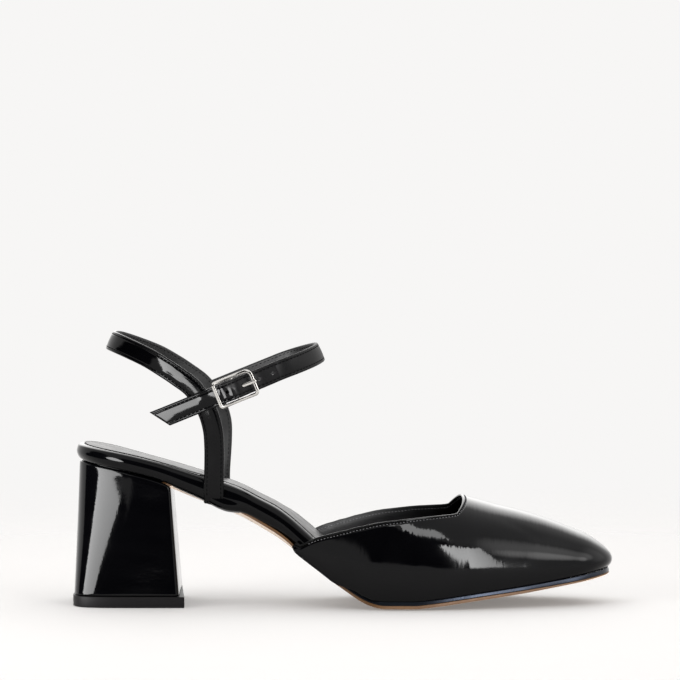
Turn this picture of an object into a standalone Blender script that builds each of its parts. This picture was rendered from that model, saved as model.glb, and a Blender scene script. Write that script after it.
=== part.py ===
"""Block heel pump for the right foot, with open sides and a buckled ankle strap.

The shoe stands on its top lift and its forefoot at z = 0, with the toe towards +X and the
inner (medial) side towards +Y. Sizes are in millimetres and become metres in the meshes.
"""

import math
from bisect import bisect_right
from collections import namedtuple

import bmesh
import bpy
from mathutils import Vector

MM = 0.001
LATERAL = -1
MEDIAL = 1

# Driving sizes
LENGTH = 240.0
BALL_WIDTH = 77.2
HEEL_HEIGHT = 63.0
TOE_SPRING = 12.4
THROAT_HEIGHT = 47.8
GAP = 0.3

# Thicknesses
WALL = 1.8
OUTSOLE = 1.2
MIDSOLE = 1.3
INSOLE = 1.0
TOP_LIFT = 4.9
STRAP = 1.6
TAB = 0.8

# Ends along the shoe
TOE_TIP = LENGTH / 2
HEEL_BACK = -LENGTH / 2
BREAST_TOP = -76.2
BREAST_FOOT = -72.4
OUTSOLE_REAR = BREAST_TOP + 1.2
MIDSOLE_REAR = -4.0
INSOLE_FRONT = 96.0
VAMP_REAR = -23.5
THROAT_LATERAL = 50.0
THROAT_MEDIAL = 47.0
THROAT_BOW = 5.2

# Widest line of the last seen from above, one row for each section
Plan = namedtuple("Plan", "x lateral medial")
LAST = (
    Plan(-92.0, -25.9, 30.9),
    Plan(-57.0, -24.4, 29.4),
    Plan(-38.0, -24.8, 26.8),
    Plan(-20.0, -28.3, 26.2),
    Plan(0.0, -34.0, 30.2),
    Plan(20.0, -0.494 * BALL_WIDTH, 0.468 * BALL_WIDTH),
    Plan(35.0, -0.5 * BALL_WIDTH, 0.5 * BALL_WIDTH),
    Plan(55.0, -0.463 * BALL_WIDTH, 0.49 * BALL_WIDTH),
    Plan(80.0, -28.0, 33.2),
    Plan(100.0, -20.3, 27.8),
    Plan(120.0, -13.5, 22.5),
)
TOE_ROUND_FROM = 103.0
TOE_SQUARENESS = 2.6
HEEL_ROUND_FROM = -94.0
HEEL_ROUND_TIP = -120.9
HEEL_SQUARENESS = 2.2

# Side view of the sole: height of the tread and thickness of the footbed above it
Side = namedtuple("Side", "x tread rim")
SOLE = (
    Side(-118.5, HEEL_HEIGHT, 7.2),
    Side(-100.0, 0.944 * HEEL_HEIGHT, 7.8),
    Side(-82.0, 0.868 * HEEL_HEIGHT, 8.4),
    Side(-67.6, 0.768 * HEEL_HEIGHT, 10.2),
    Side(-45.5, 0.629 * HEEL_HEIGHT, 11.8),
    Side(-36.7, 0.552 * HEEL_HEIGHT, 12.2),
    Side(-27.8, 0.467 * HEEL_HEIGHT, 12.8),
    Side(-15.0, 0.313 * HEEL_HEIGHT, 11.6),
    Side(0.0, 0.131 * HEEL_HEIGHT, 6.6),
    Side(5.0, 0.073 * HEEL_HEIGHT, 5.2),
    Side(9.0, 0.036 * HEEL_HEIGHT, 4.4),
    Side(13.0, 0.013 * HEEL_HEIGHT, 3.8),
    Side(18.0, 0.0, 3.4),
    Side(31.0, 0.0, 3.2),
    Side(39.0, 0.06 * TOE_SPRING, 3.2),
    Side(60.0, 0.28 * TOE_SPRING, 3.2),
    Side(80.0, 0.48 * TOE_SPRING, 3.2),
    Side(100.0, 0.715 * TOE_SPRING, 3.2),
    Side(119.0, TOE_SPRING, 3.2),
)
BEND_REAR = -26.0
BEND_FRONT = 18.0
STATION_SPACE = 1.0
TREAD_EDGE_RISE = 0.7
EDGE_RISE_FROM = MIDSOLE_REAR - 4.0
EDGE_RISE_UNTIL = MIDSOLE_REAR + 8.0
STEP_FROM = MIDSOLE_REAR - 10.0
STEP_UNTIL = MIDSOLE_REAR - 1.0
SOLE_EDGE_BAND = 9.0
SOLE_TOE_BAND = 6.0
SOLE_TOE_RUN = 30.0
SOLE_INSET_WAIST = 5.0
WAIST_FROM = -40.0
WAIST_UNTIL = -20.0
RIM_ROUND = 0.42
RECESS_SLOPE = 0.2
SOLE_INSET_HIDDEN = 2.7
SOLE_PROUD = 0.4
SOLE_EMERGES = 6.0
SOLE_PROUD_FROM = 17.0

# Side view of the vamp: crown of the last, topline, widest line above the edge, bulge past the edge
Upper = namedtuple("Upper", "x crown topline belly bulge")
VAMP = (
    Upper(-24.0, 84.0, 28.0, 0.4, 0.3),
    Upper(-16.8, 80.0, 30.4, 4.0, 0.8),
    Upper(-10.0, 76.0, 32.6, 7.0, 1.2),
    Upper(1.0, 70.0, 35.7, 9.5, 1.6),
    Upper(8.0, 66.5, 37.5, 11.0, 1.8),
    Upper(16.0, 62.5, 39.2, 12.0, 1.9),
    Upper(25.0, 58.0, 40.3, 12.5, 2.0),
    Upper(34.0, 54.5, 41.2, 12.5, 2.0),
    Upper(54.2, THROAT_HEIGHT, 42.3, 11.0, 2.0),
    Upper(70.0, 43.4, 42.3, 9.0, 1.9),
    Upper(82.0, 40.2, 42.3, 7.2, 1.8),
    Upper(94.0, 36.2, 42.3, 5.6, 1.8),
    Upper(106.0, 31.4, 42.3, 4.2, 1.8),
    Upper(120.0, 25.8, 42.3, 3.2, 1.8),
)
SECTION_FULLNESS = 2.25
CROWN_ROUND_FROM = 106.0
CROWN_SQUARENESS = 2.2
EDGE_WRAPS_UNTIL = -6.0

# Heel block: outline at its foot and at its top
LIFT_PROUD = 0.7
HeelEnd = namedtuple("HeelEnd", "back half_width squareness corner")
HEEL_FOOT = HeelEnd(HEEL_BACK + LIFT_PROUD, 25.6, 3.4, 2.2)
HEEL_TOP = HeelEnd(-117.2, 24.6, 2.35, 1.6)
HEEL_MIDDLE = 2.5

# Oval of the ankle that both straps follow
ANKLE_MIDDLE = 2.5
ANKLE_REAR_CENTRE = -74.0
ANKLE_REAR_REACH = 29.6
ANKLE_FRONT_CENTRE = -29.0
ANKLE_FRONT_REACH = 18.6
ANKLE_HALF_WIDTH = 27.0
STRAP_LEAN = 0.45
STRAP_WIDTH = 8.8
SLANT_RUN = 12.0

# Heel strap centre line on one side, from its tuck under the footbed to the middle of the back
TUCK_TOP = 58.0
Fold = namedtuple("Fold", "x out z")
HEEL_STRAP = (
    Fold(-57.2, 23.9, 44.4),
    Fold(-57.1, 25.3, 46.4),
    Fold(-57.0, 25.7, 50.5),
    Fold(-56.9, 25.8, TUCK_TOP),
    Fold(-56.8, 26.2, 71.0),
    Fold(-57.6, 26.8, 80.0),
    Fold(-60.4, 27.0, 88.5),
    Fold(-66.0, 27.0, 97.0),
    Fold(-72.9, 26.9, 102.4),
    Fold(-79.3, 26.4, 106.6),
    Fold(-86.2, 24.4, 110.6),
    Fold(-94.0, 19.0, 114.0),
    Fold(-100.6, 10.6, 116.4),
    Fold(-103.2, 0.0, 116.9),
)
MEDIAL_RUN = 14.0
MEDIAL_SHIFT = 1.8
MEDIAL_RAKE = 1.2
MEDIAL_RAKE_UNTIL = 82.0
MEDIAL_DROP = 1.5
MEDIAL_DROP_FROM = 70.0
MEDIAL_DROP_UNTIL = 95.0
HEEL_STRAP_END_SLANT = -3.6

# Ankle strap and buckle, along the strap from the buckle's centre bar
STRAP_SLOPE = 0.405
STRAP_FRONT_DROP = 0.7
BUCKLE_X = -47.3
BUCKLE_Z = 97.4
BUCKLE_REACH = 8.7
BUCKLE_OPENING = 9.6
BUCKLE_CORNER = 2.6
WIRE_RADIUS = 0.75
BAR_RADIUS = 0.5
PRONG_RADIUS = 0.5
TAIL_END = -36.0
TAIL_SLANT = 6.2
TAIL_OUT = ANKLE_HALF_WIDTH + STRAP + TAB + 2 * GAP
BAR_OUT = ANKLE_HALF_WIDTH + 3.9
END_BAR_OUT = BAR_OUT + 2.1
STRAP_UNDER = END_BAR_OUT - WIRE_RADIUS - GAP - STRAP / 2
STRAP_OVER = BAR_OUT + BAR_RADIUS + 2 * PRONG_RADIUS + 2 * GAP + STRAP / 2
WEAVE_REACH = 7.4
SETTLE_RUN = 8.0
SETTLE_SPACE = 1.0
FRONT_RUN = 6.0
TAB_WIDTH = 6.5
TAB_START = -19.5
TAB_FLAT_END = -9.0
TAB_RISE = (-5.0, 0.35)
TAB_RETURN = ((-2.6, 0.55), (-4.4, -0.45))
TAB_SLOT = 2.4
TAB_SLOT_REAR = -2.3
TAB_SLOT_REACH = 3.0
MEDIAL_END_X = -62.0
PRONG_PAST_BAR = 1.3
FRONT_ALONG = (ANKLE_FRONT_CENTRE - BUCKLE_X) / math.cos(math.atan(STRAP_SLOPE))


def smooth(rows, column, x):
    """Value of a table column at x, on a monotone cubic through its rows."""
    xs = [row.x for row in rows]
    values = [getattr(row, column) for row in rows]
    if x <= xs[0]:
        return values[0]
    if x >= xs[-1]:
        return values[-1]
    steps = [(values[i + 1] - values[i]) / (xs[i + 1] - xs[i]) for i in range(len(xs) - 1)]

    def slope(i):
        if i == 0 or i == len(steps):
            return steps[max(i - 1, 0)]
        before, after = steps[i - 1], steps[i]
        return 2 * before * after / (before + after) if before * after > 0 else 0.0

    i = bisect_right(xs, x) - 1
    span = xs[i + 1] - xs[i]
    t = (x - xs[i]) / span
    return (
        values[i] * (1 + 2 * t) * (1 - t) ** 2
        + slope(i) * span * t * (1 - t) ** 2
        + values[i + 1] * t * t * (3 - 2 * t)
        - slope(i + 1) * span * t * t * (1 - t)
    )


def ease(x, start, end):
    """Smooth step from 0 at start to 1 at end."""
    t = min(max((x - start) / (end - start), 0.0), 1.0)
    return t * t * (3 - 2 * t)


def round_off(x, start, tip, squareness):
    """Share of the full size left at x where an end rounds off between start and tip."""
    share = min(max((x - start) / (tip - start), 0.0), 1.0)
    return (1 - share**squareness) ** (1 / squareness)


def end_stations(start, tip, squareness, count):
    """Stations from just past start to the tip, closer together where the end turns."""
    angles = [math.pi / 2 * i / count for i in range(1, count + 1)]
    return [start + (tip - start) * math.sin(angle) ** (2 / squareness) for angle in angles]


def even_stations(start, end, count):
    """Evenly spaced stations, both ends included."""
    return [start + (end - start) * i / count for i in range(count + 1)]


TOE_STATIONS = end_stations(TOE_ROUND_FROM, TOE_TIP, TOE_SQUARENESS, 8)
HEEL_STATIONS = end_stations(HEEL_ROUND_FROM, HEEL_ROUND_TIP, HEEL_SQUARENESS, 9)[::-1]


def sole_stations(rear, front):
    """Stations that the sole's layers share, close together where the sole bends up to the waist."""
    shared = even_stations(HEEL_ROUND_FROM, BEND_REAR, 12)
    shared += even_stations(BEND_REAR, BEND_FRONT, 16)[1:]
    shared += even_stations(BEND_FRONT, TOE_ROUND_FROM, 13)[1:]
    between = [x for x in shared if rear + STATION_SPACE < x < front - STATION_SPACE]
    return [rear] + between + [front]


def last_middle(x):
    """Middle of the last across the shoe at x."""
    return (smooth(LAST, "lateral", x) + smooth(LAST, "medial", x)) / 2


def last_half_width(x):
    """Half the last's greatest width at x, rounded off at the toe and the heel."""
    full = (smooth(LAST, "medial", x) - smooth(LAST, "lateral", x)) / 2
    toe = round_off(x, TOE_ROUND_FROM, TOE_TIP, TOE_SQUARENESS)
    heel = round_off(x, HEEL_ROUND_FROM, HEEL_ROUND_TIP, HEEL_SQUARENESS)
    return full * toe * heel


def edge_inset(x):
    """How far the vamp's lower edge lies inside the last's widest line."""
    return smooth(VAMP, "bulge", x)


def footbed_inset(x):
    """How far the footbed's rim lies inside the last's widest line."""
    return edge_inset(x) + WALL + GAP


def sole_inset(x):
    """How far the sole's edge lies inside the last's widest line: tucked in, then proud of the vamp."""
    waist = 1 - ease(x, WAIST_FROM, WAIST_UNTIL)
    hidden = SOLE_INSET_HIDDEN + (SOLE_INSET_WAIST - SOLE_INSET_HIDDEN) * waist
    return edge_inset(x) + hidden - (hidden + SOLE_PROUD) * ease(x, SOLE_EMERGES, SOLE_PROUD_FROM)


def level_inset(x):
    """How far the level middle of the sole lies inside the last's widest line."""
    return sole_inset(x) + SOLE_EDGE_BAND * min(1.0, (TOE_TIP + SOLE_TOE_BAND - x) / SOLE_TOE_RUN)


def tread(x):
    """Height of the sole's underside on the middle line."""
    return smooth(SOLE, "tread", x)


def edge_rise(x):
    """How far the sole's edge stands above its middle, in the forefoot only."""
    return TREAD_EDGE_RISE * ease(x, EDGE_RISE_FROM, EDGE_RISE_UNTIL)


def outsole_top(x):
    """Height of the outsole's upper face, away from its edge."""
    return tread(x) + OUTSOLE


def midsole_under(x):
    """Height of the midsole's lower face."""
    return outsole_top(x) + GAP


def footbed_under(x):
    """Height of the footbed's lower face, which steps up over the midsole."""
    step = (MIDSOLE + GAP + TREAD_EDGE_RISE) * ease(x, STEP_FROM, STEP_UNTIL)
    return midsole_under(x) + step


def footbed_rim(x):
    """Thickness of the footbed."""
    return smooth(SOLE, "rim", x)


def footbed_top(x):
    """Height of the footbed's upper face."""
    return footbed_under(x) + footbed_rim(x)


def vamp_edge(x):
    """Height of the vamp's lower edge: level with the tread at the waist, on the midsole in front."""
    over_midsole = OUTSOLE + MIDSOLE + 2 * GAP + TREAD_EDGE_RISE
    return tread(x) + over_midsole * ease(x, EDGE_WRAPS_UNTIL, SOLE_EMERGES)


def vamp_belly(x):
    """Height of the vamp's widest line."""
    return vamp_edge(x) + smooth(VAMP, "belly", x)


def vamp_height(x, across):
    """Height of the vamp at x, with across the place from the middle (0) to the widest line (1)."""
    belly = vamp_belly(x)
    crown = smooth(VAMP, "crown", x) - belly
    toe = round_off(x, CROWN_ROUND_FROM, TOE_TIP, CROWN_SQUARENESS)
    fall = (1 - min(abs(across), 1.0) ** SECTION_FULLNESS) ** (1 / SECTION_FULLNESS)
    return belly + crown * toe * fall


def topline_across(x):
    """Place of the topline across the section at x, from the middle (0) to the widest line (1)."""
    belly = vamp_belly(x)
    rise = (smooth(VAMP, "topline", x) - belly) / (smooth(VAMP, "crown", x) - belly)
    return (1 - rise**SECTION_FULLNESS) ** (1 / SECTION_FULLNESS)


def closed_ring(stations, inset, height):
    """Outline of the last through the stations, moved in by inset(x), at height(x).

    The ring starts at the rear end on the middle line, runs forward on the lateral side,
    passes the front end and comes back on the medial side.
    """
    sides = []
    for x in stations:
        middle, half_width = last_middle(x), last_half_width(x)
        sides.append((Vector((x, middle - half_width)), Vector((x, middle + half_width))))
    rear, front = sides[0][0].lerp(sides[0][1], 0.5), sides[-1][0].lerp(sides[-1][1], 0.5)
    sides = [(lateral, medial) for lateral, medial in sides if medial.y - lateral.y > 1e-6]
    plan = [rear] + [lateral for lateral, medial in sides]
    plan += [front] + [medial for lateral, medial in reversed(sides)]
    ring = []
    for i, point in enumerate(plan):
        before = (point - plan[i - 1]).normalized()
        after = (plan[(i + 1) % len(plan)] - point).normalized()
        along = (before + after).normalized()
        moved = point + Vector((-along.y, along.x)) * inset(point.x) / along.dot(before)
        ring.append(Vector((moved.x, moved.y, height(moved.x))))
    return ring


def material(name, colour, roughness, metallic=0.0):
    """Plain Principled material."""
    made = bpy.data.materials.new(name)
    made.use_nodes = True
    shader = made.node_tree.nodes["Principled BSDF"]
    shader.inputs["Base Color"].default_value = (*colour, 1.0)
    shader.inputs["Roughness"].default_value = roughness
    shader.inputs["Metallic"].default_value = metallic
    return made


def add_object(name, points, faces, finish, collection):
    """Mesh object from points in millimetres."""
    mesh = bpy.data.meshes.new(name)
    mesh.from_pydata([point * MM for point in points], [], faces)
    mesh.validate()
    if finish:
        mesh.materials.append(finish)
    made = bpy.data.objects.new(name, mesh)
    collection.objects.link(made)
    return made


def slab(name, rings, finish, collection):
    """Solid through closed rings from its lower face to its upper face.

    Each ring pairs its points across the middle line, so both faces are ladders of triangles,
    all split the same way so that neighbouring layers keep their gap.
    """
    count = len(rings[0])
    half = count // 2
    faces = []
    for level in range(len(rings) - 1):
        low, high = level * count, (level + 1) * count
        for i in range(count):
            j = (i + 1) % count
            faces.append((low + i, low + j, high + j, high + i))
    top = (len(rings) - 1) * count
    for i in range(half):
        near, far = (count - i) % count, count - i - 1
        for corners in ((i, i + 1, far), (i, far, near)):
            if len(set(corners)) == 3:
                faces.append(tuple(top + corner for corner in corners))
                faces.append(tuple(reversed(corners)))
    return add_object(name, [p for ring in rings for p in ring], faces, finish, collection)


def thicken(made, thickness, offset):
    """Give an open surface its wall with a Solidify modifier."""
    wall = made.modifiers.new("wall", "SOLIDIFY")
    wall.thickness = thickness * MM
    wall.offset = offset
    wall.use_even_offset = True


def strip(name, rows, thickness, offset, finish, collection):
    """Shell from equal rows of points, given its wall."""
    width = len(rows[0])
    faces = []
    for i in range(len(rows) - 1):
        for j in range(width - 1):
            first = i * width + j
            faces.append((first, first + width, first + width + 1, first + 1))
    made = add_object(name, [p for row in rows for p in row], faces, finish, collection)
    thicken(made, thickness, offset)
    return made


def heel_ring(share, grow, height):
    """Outline of the heel at a share of its height: rounded back, straight breast, eased corners."""
    def between(name):
        foot, top = getattr(HEEL_FOOT, name), getattr(HEEL_TOP, name)
        return foot + (top - foot) * share

    breast = BREAST_FOOT + (BREAST_TOP - BREAST_FOOT) * share + grow
    back = between("back") - grow
    half_width = between("half_width") + grow
    power = 2 / between("squareness")
    corner = between("corner")
    side = []
    for i in range(1, 12):
        angle = math.pi / 2 * i / 12
        x = breast - (breast - back) * math.cos(angle) ** power
        side.append((x, half_width * math.sin(angle) ** power))
    for i in range(4):
        angle = math.pi / 2 * i / 3
        x = breast - corner * (1 - math.sin(angle))
        side.append((x, half_width - corner * (1 - math.cos(angle))))
    side = [point for i, point in enumerate(side) if i < 11 or point[0] > side[10][0]]
    plan = [(back, 0.0)] + [(x, -y) for x, y in side] + [(breast, 0.0)] + side[::-1]
    return [Vector((x, HEEL_MIDDLE + y, height(x))) for x, y in plan]


def build_top_lift(finish, collection):
    """Rubber lift, a little proud of the heel's foot."""
    rings = [heel_ring(0.0, LIFT_PROUD, lambda x, z=z: z) for z in (0.0, TOP_LIFT)]
    slab("top_lift", rings, finish, collection)


def build_heel_block(finish, collection):
    """Flared block from the lift to the footbed, its top face following the heel seat."""
    foot = TOP_LIFT + GAP
    levels = 5

    def height(share):
        return lambda x: foot + (footbed_under(x) - GAP - foot) * share

    rings = [heel_ring(i / levels, 0.0, height(i / levels)) for i in range(levels + 1)]
    slab("heel_block", rings, finish, collection)


def sole_layer(name, stations, under, thickness, finish, collection):
    """Thin layer of the sole, level in the middle and rising to its edge."""
    def top(x):
        return under(x) + thickness

    rings = [
        closed_ring(stations, level_inset, under),
        closed_ring(stations, sole_inset, lambda x: under(x) + edge_rise(x)),
        closed_ring(stations, sole_inset, lambda x: top(x) + edge_rise(x)),
        closed_ring(stations, level_inset, top),
    ]
    slab(name, rings, finish, collection)


def build_outsole(finish, collection):
    """Sole from the heel breast to the toe, flat under the ball."""
    stations = sole_stations(OUTSOLE_REAR, TOE_ROUND_FROM) + TOE_STATIONS
    sole_layer("outsole", stations, tread, OUTSOLE, finish, collection)


def build_midsole(finish, collection):
    """Layer between the outsole and the vamp, in the forefoot."""
    stations = sole_stations(MIDSOLE_REAR, TOE_ROUND_FROM) + TOE_STATIONS
    sole_layer("midsole", stations, midsole_under, MIDSOLE, finish, collection)


def footbed_ring(inset_share, height_share, inset=0.0, drop=0.0):
    """Ring round the footbed's rounded rim, in shares of the rim's thickness and lengths past them."""
    stations = HEEL_STATIONS + sole_stations(HEEL_ROUND_FROM, TOE_ROUND_FROM) + TOE_STATIONS
    return closed_ring(
        stations,
        lambda x: footbed_inset(x) + inset_share * footbed_rim(x) + inset,
        lambda x: footbed_under(x) + height_share * footbed_rim(x) - drop,
    )


def build_footbed(finish, collection):
    """Padded platform with a rounded rim and a recess for the sock, thinner under the vamp."""
    rim = ((RIM_ROUND, 0.0), (0.14, 0.12), (0.0, 0.42), (0.04, 0.70), (0.16, 0.90), (RIM_ROUND, 1.0))
    rings = [footbed_ring(inset, height) for inset, height in rim]
    rings.append(footbed_ring(RIM_ROUND, 1.0, RECESS_SLOPE, INSOLE + GAP))
    slab("footbed", rings, finish, collection)


def build_insole(finish, collection):
    """Sock on the footbed, from the heel to inside the vamp."""
    stations = HEEL_STATIONS + sole_stations(HEEL_ROUND_FROM, INSOLE_FRONT)

    def inset(x):
        return footbed_inset(x) + RIM_ROUND * footbed_rim(x) + RECESS_SLOPE + GAP

    rings = [closed_ring(stations, inset, lambda x: footbed_top(x) - INSOLE)]
    rings.append(closed_ring(stations, inset, footbed_top))
    slab("insole", rings, finish, collection)


def vamp_columns():
    """Plan lines of the vamp from its widest line to its topline, as (outer, inner) points.

    Beside the opening each line crosses the shoe. In front of it they fan from the throat to the toe.
    """
    def side_point(x, side):
        return Vector((x, last_middle(x) + side * last_half_width(x)))

    def rear_columns(side, corner):
        columns = []
        for x in even_stations(VAMP_REAR, corner, 13):
            inner = Vector((x, last_middle(x) + side * topline_across(x) * last_half_width(x)))
            columns.append((side_point(x, side), inner))
        return columns

    def throat_point(share):
        corner = THROAT_LATERAL + (THROAT_MEDIAL - THROAT_LATERAL) * (share + 1) / 2
        x = corner + THROAT_BOW * (1 - abs(share) ** 3)
        return Vector((x, last_middle(x) + share * topline_across(corner) * last_half_width(corner)))

    def toe_side(side, corner):
        stations = even_stations(corner, TOE_ROUND_FROM, 11)[1:] + TOE_STATIONS
        return [side_point(x, side) for x in stations]

    outer = toe_side(LATERAL, THROAT_LATERAL) + toe_side(MEDIAL, THROAT_MEDIAL)[-2::-1]
    lateral = rear_columns(LATERAL, THROAT_LATERAL)
    medial = rear_columns(MEDIAL, THROAT_MEDIAL)
    walk = [lateral[-1][0]] + outer + [medial[-1][0]]
    lengths = [(b - a).length for a, b in zip(walk, walk[1:])]
    toe = []
    for i, point in enumerate(outer):
        share = 2 * sum(lengths[: i + 1]) / sum(lengths) - 1
        toe.append((point, throat_point(share)))
    return lateral + toe + medial[::-1]


def build_vamp(finish, collection):
    """Hollow toe shell: a leaning wall up to the widest line, then the dome up to the topline."""
    columns = vamp_columns()
    outers = [outer for outer, inner in columns]
    wall_rows = (0.0, 0.5)
    dome_steps = 10
    rows = []
    for i, (outer, inner) in enumerate(columns):
        before, after = outers[max(i - 1, 0)], outers[min(i + 1, len(outers) - 1)]
        along = (after - before).normalized()
        inward = Vector((-along.y, along.x))
        column = []
        for share in wall_rows:
            point = outer + inward * edge_inset(outer.x) * (1 - share) ** 2
            low, high = vamp_edge(outer.x), vamp_belly(outer.x)
            column.append(Vector((point.x, point.y, low + (high - low) * share)))
        for step in range(dome_steps + 1):
            point = outer.lerp(inner, (step / dome_steps) ** 2)
            half_width = last_half_width(point.x)
            across = (point.y - last_middle(point.x)) / half_width if half_width > 1e-6 else 0.0
            height = vamp_height(point.x, across if step else 1.0)
            column.append(Vector((point.x, point.y, height)))
        rows.append(column)
    strip("vamp", rows, WALL, -1.0, finish, collection)


def spline(points, steps):
    """Points on a Catmull-Rom curve through the given points."""
    ends = [2 * points[0] - points[1]] + points + [2 * points[-1] - points[-2]]
    curve = []
    for a, b, c, d in zip(ends, ends[1:], ends[2:], ends[3:]):
        for step in range(steps):
            t = step / steps
            bend = 2 * a - 5 * b + 4 * c - d
            swing = 3 * b - a - 3 * c + d
            curve.append(b + (t * (c - a) + t * t * bend + t**3 * swing) / 2)
    return curve + [points[-1]]


def ankle_facing(point):
    """Outward direction of the ankle's oval at a point, leaning up at the front and the back."""
    forward = 0.0
    if point.x < ANKLE_REAR_CENTRE:
        forward = (point.x - ANKLE_REAR_CENTRE) / ANKLE_REAR_REACH**2
    if point.x > ANKLE_FRONT_CENTRE:
        forward = (point.x - ANKLE_FRONT_CENTRE) / ANKLE_FRONT_REACH**2
    across = (point.y - ANKLE_MIDDLE) / ANKLE_HALF_WIDTH**2
    if forward == 0.0:
        across = math.copysign(1.0, across)
    level = Vector((forward, across, 0.0)).normalized()
    return (level + Vector((0.0, 0.0, STRAP_LEAN * abs(level.x) ** 2))).normalized()


def ribbon(path, facing, width, slants=(0.0, 0.0)):
    """Rows of points across a strap along its path, with a slanted cut at each end."""
    rows = []
    for i, point in enumerate(path):
        along = (path[min(i + 1, len(path) - 1)] - path[max(i - 1, 0)]).normalized()
        across = facing(point).cross(along).normalized() * width / 2
        first = max(0.0, 1 - (point - path[0]).length / SLANT_RUN)
        last = max(0.0, 1 - (point - path[-1]).length / SLANT_RUN)
        skew = along * (slants[0] * first + slants[1] * last) / 2
        rows.append([point - across + skew, point, point + across - skew])
    return rows


def build_heel_strap(finish, collection):
    """One strap from the waist on the lateral side, behind the heel and down the medial side."""
    back = HEEL_STRAP[-1].x

    def place(fold, side):
        inner = ease(fold.x, back, back + MEDIAL_RUN) if side == MEDIAL else 0.0
        shift = inner * (MEDIAL_SHIFT + MEDIAL_RAKE * ease(fold.z, TUCK_TOP, MEDIAL_RAKE_UNTIL))
        drop = MEDIAL_DROP * inner * ease(fold.z, MEDIAL_DROP_FROM, MEDIAL_DROP_UNTIL)
        return Vector((fold.x + shift, ANKLE_MIDDLE + side * fold.out, fold.z - drop))

    lateral = [place(fold, LATERAL) for fold in HEEL_STRAP]
    medial = [place(fold, MEDIAL) for fold in HEEL_STRAP[-2::-1]]
    path = spline(lateral + medial, 3)

    def facing(point):
        if point.z < TUCK_TOP:
            return tuck_facing(point, path)
        return ankle_facing(point)

    slants = (HEEL_STRAP_END_SLANT, -HEEL_STRAP_END_SLANT)
    rows = ribbon(path, facing, STRAP_WIDTH, slants)
    strip("heel_strap", rows, STRAP, 0.0, finish, collection)


def tuck_facing(point, path):
    """Outward direction of the heel strap where it curls under the footbed."""
    i = min(range(len(path)), key=lambda k: (path[k] - point).length)
    along = path[min(i + 1, len(path) - 1)] - path[max(i - 1, 0)]
    side = Vector((1.0, 0.0, 0.0)).cross(along).normalized()
    return side if side.y * (point.y - ANKLE_MIDDLE) > 0 else -side


def strap_out(along):
    """Distance of the ankle strap from the ankle's middle plane, along the strap from the centre bar."""
    settled = BUCKLE_REACH + SETTLE_SPACE
    base = TAIL_OUT + (STRAP_UNDER - TAIL_OUT) * ease(along, -settled - SETTLE_RUN, -settled)
    base += (ANKLE_HALF_WIDTH - base) * ease(along, settled, FRONT_ALONG + FRONT_RUN)
    if abs(along) < WEAVE_REACH:
        base += (STRAP_OVER - STRAP_UNDER) * (1 + math.cos(math.pi * along / WEAVE_REACH)) / 2
    return base


def strap_place(along, out, lift=0.0):
    """Point beside the ankle on the lateral side, from distances along, out from and across the strap."""
    angle = math.atan(STRAP_SLOPE)
    x = BUCKLE_X + along * math.cos(angle) - lift * math.sin(angle)
    z = BUCKLE_Z + along * math.sin(angle) + lift * math.cos(angle)
    return Vector((x, ANKLE_MIDDLE - out, z))


def ankle_path():
    """Ankle strap centre line from the tail, through the buckle and round the front to the medial side."""
    tail = even_stations(TAIL_END, -BUCKLE_REACH, 12)
    buckle = even_stations(-BUCKLE_REACH, BUCKLE_REACH, 16)[1:]
    side = even_stations(BUCKLE_REACH, FRONT_ALONG, 6)[1:]
    path = [strap_place(along, strap_out(along)) for along in tail + buckle + side]
    start_out = strap_out(FRONT_ALONG)
    medial_out = ANKLE_HALF_WIDTH + STRAP + GAP
    turns = 26

    def level(x):
        settle = STRAP_FRONT_DROP * ease(x, ANKLE_FRONT_CENTRE, ANKLE_FRONT_CENTRE + ANKLE_FRONT_REACH)
        return BUCKLE_Z + STRAP_SLOPE * (x - BUCKLE_X) - settle

    for i in range(1, turns + 1):
        angle = math.pi * (i / turns - 0.5)
        out = start_out + (medial_out - start_out) * i / turns
        x = ANKLE_FRONT_CENTRE + ANKLE_FRONT_REACH * math.cos(angle)
        path.append(Vector((x, ANKLE_MIDDLE + out * math.sin(angle), level(x))))
    for x in even_stations(ANKLE_FRONT_CENTRE, MEDIAL_END_X, 8)[1:]:
        path.append(Vector((x, ANKLE_MIDDLE + medial_out, level(x))))
    return path


def tube(name, points, radius, closed, finish, collection):
    """Round wire along points, as a curve turned into a mesh."""
    curve = bpy.data.curves.new(name, "CURVE")
    curve.dimensions = "3D"
    curve.bevel_depth = radius * MM
    curve.bevel_resolution = 2
    curve.use_fill_caps = True
    line = curve.splines.new("POLY")
    line.points.add(len(points) - 1)
    for spot, point in zip(line.points, points):
        spot.co = (*(point * MM), 1.0)
    line.use_cyclic_u = closed
    holder = bpy.data.objects.new(name + "_wire", curve)
    bpy.context.scene.collection.objects.link(holder)
    bpy.context.view_layer.update()
    mesh = bpy.data.meshes.new_from_object(holder.evaluated_get(bpy.context.evaluated_depsgraph_get()))
    bpy.data.objects.remove(holder)
    bpy.data.curves.remove(curve)
    mesh.name = name
    shape = bmesh.new()
    shape.from_mesh(mesh)
    bmesh.ops.remove_doubles(shape, verts=shape.verts, dist=0.00001)
    bmesh.ops.recalc_face_normals(shape, faces=shape.faces)
    shape.to_mesh(mesh)
    shape.free()
    mesh.materials.clear()
    if finish:
        mesh.materials.append(finish)
    made = bpy.data.objects.new(name, mesh)
    collection.objects.link(made)
    return made


def combine(made, other, operation):
    """Exact Boolean of one object with another."""
    change = made.modifiers.new(operation.lower(), "BOOLEAN")
    change.object = other
    change.operation = operation
    change.solver = "EXACT"


def hide_cutter(made):
    """Keep a cutter out of the shoe's views."""
    made.hide_render = True
    made.display_type = "WIRE"


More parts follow.
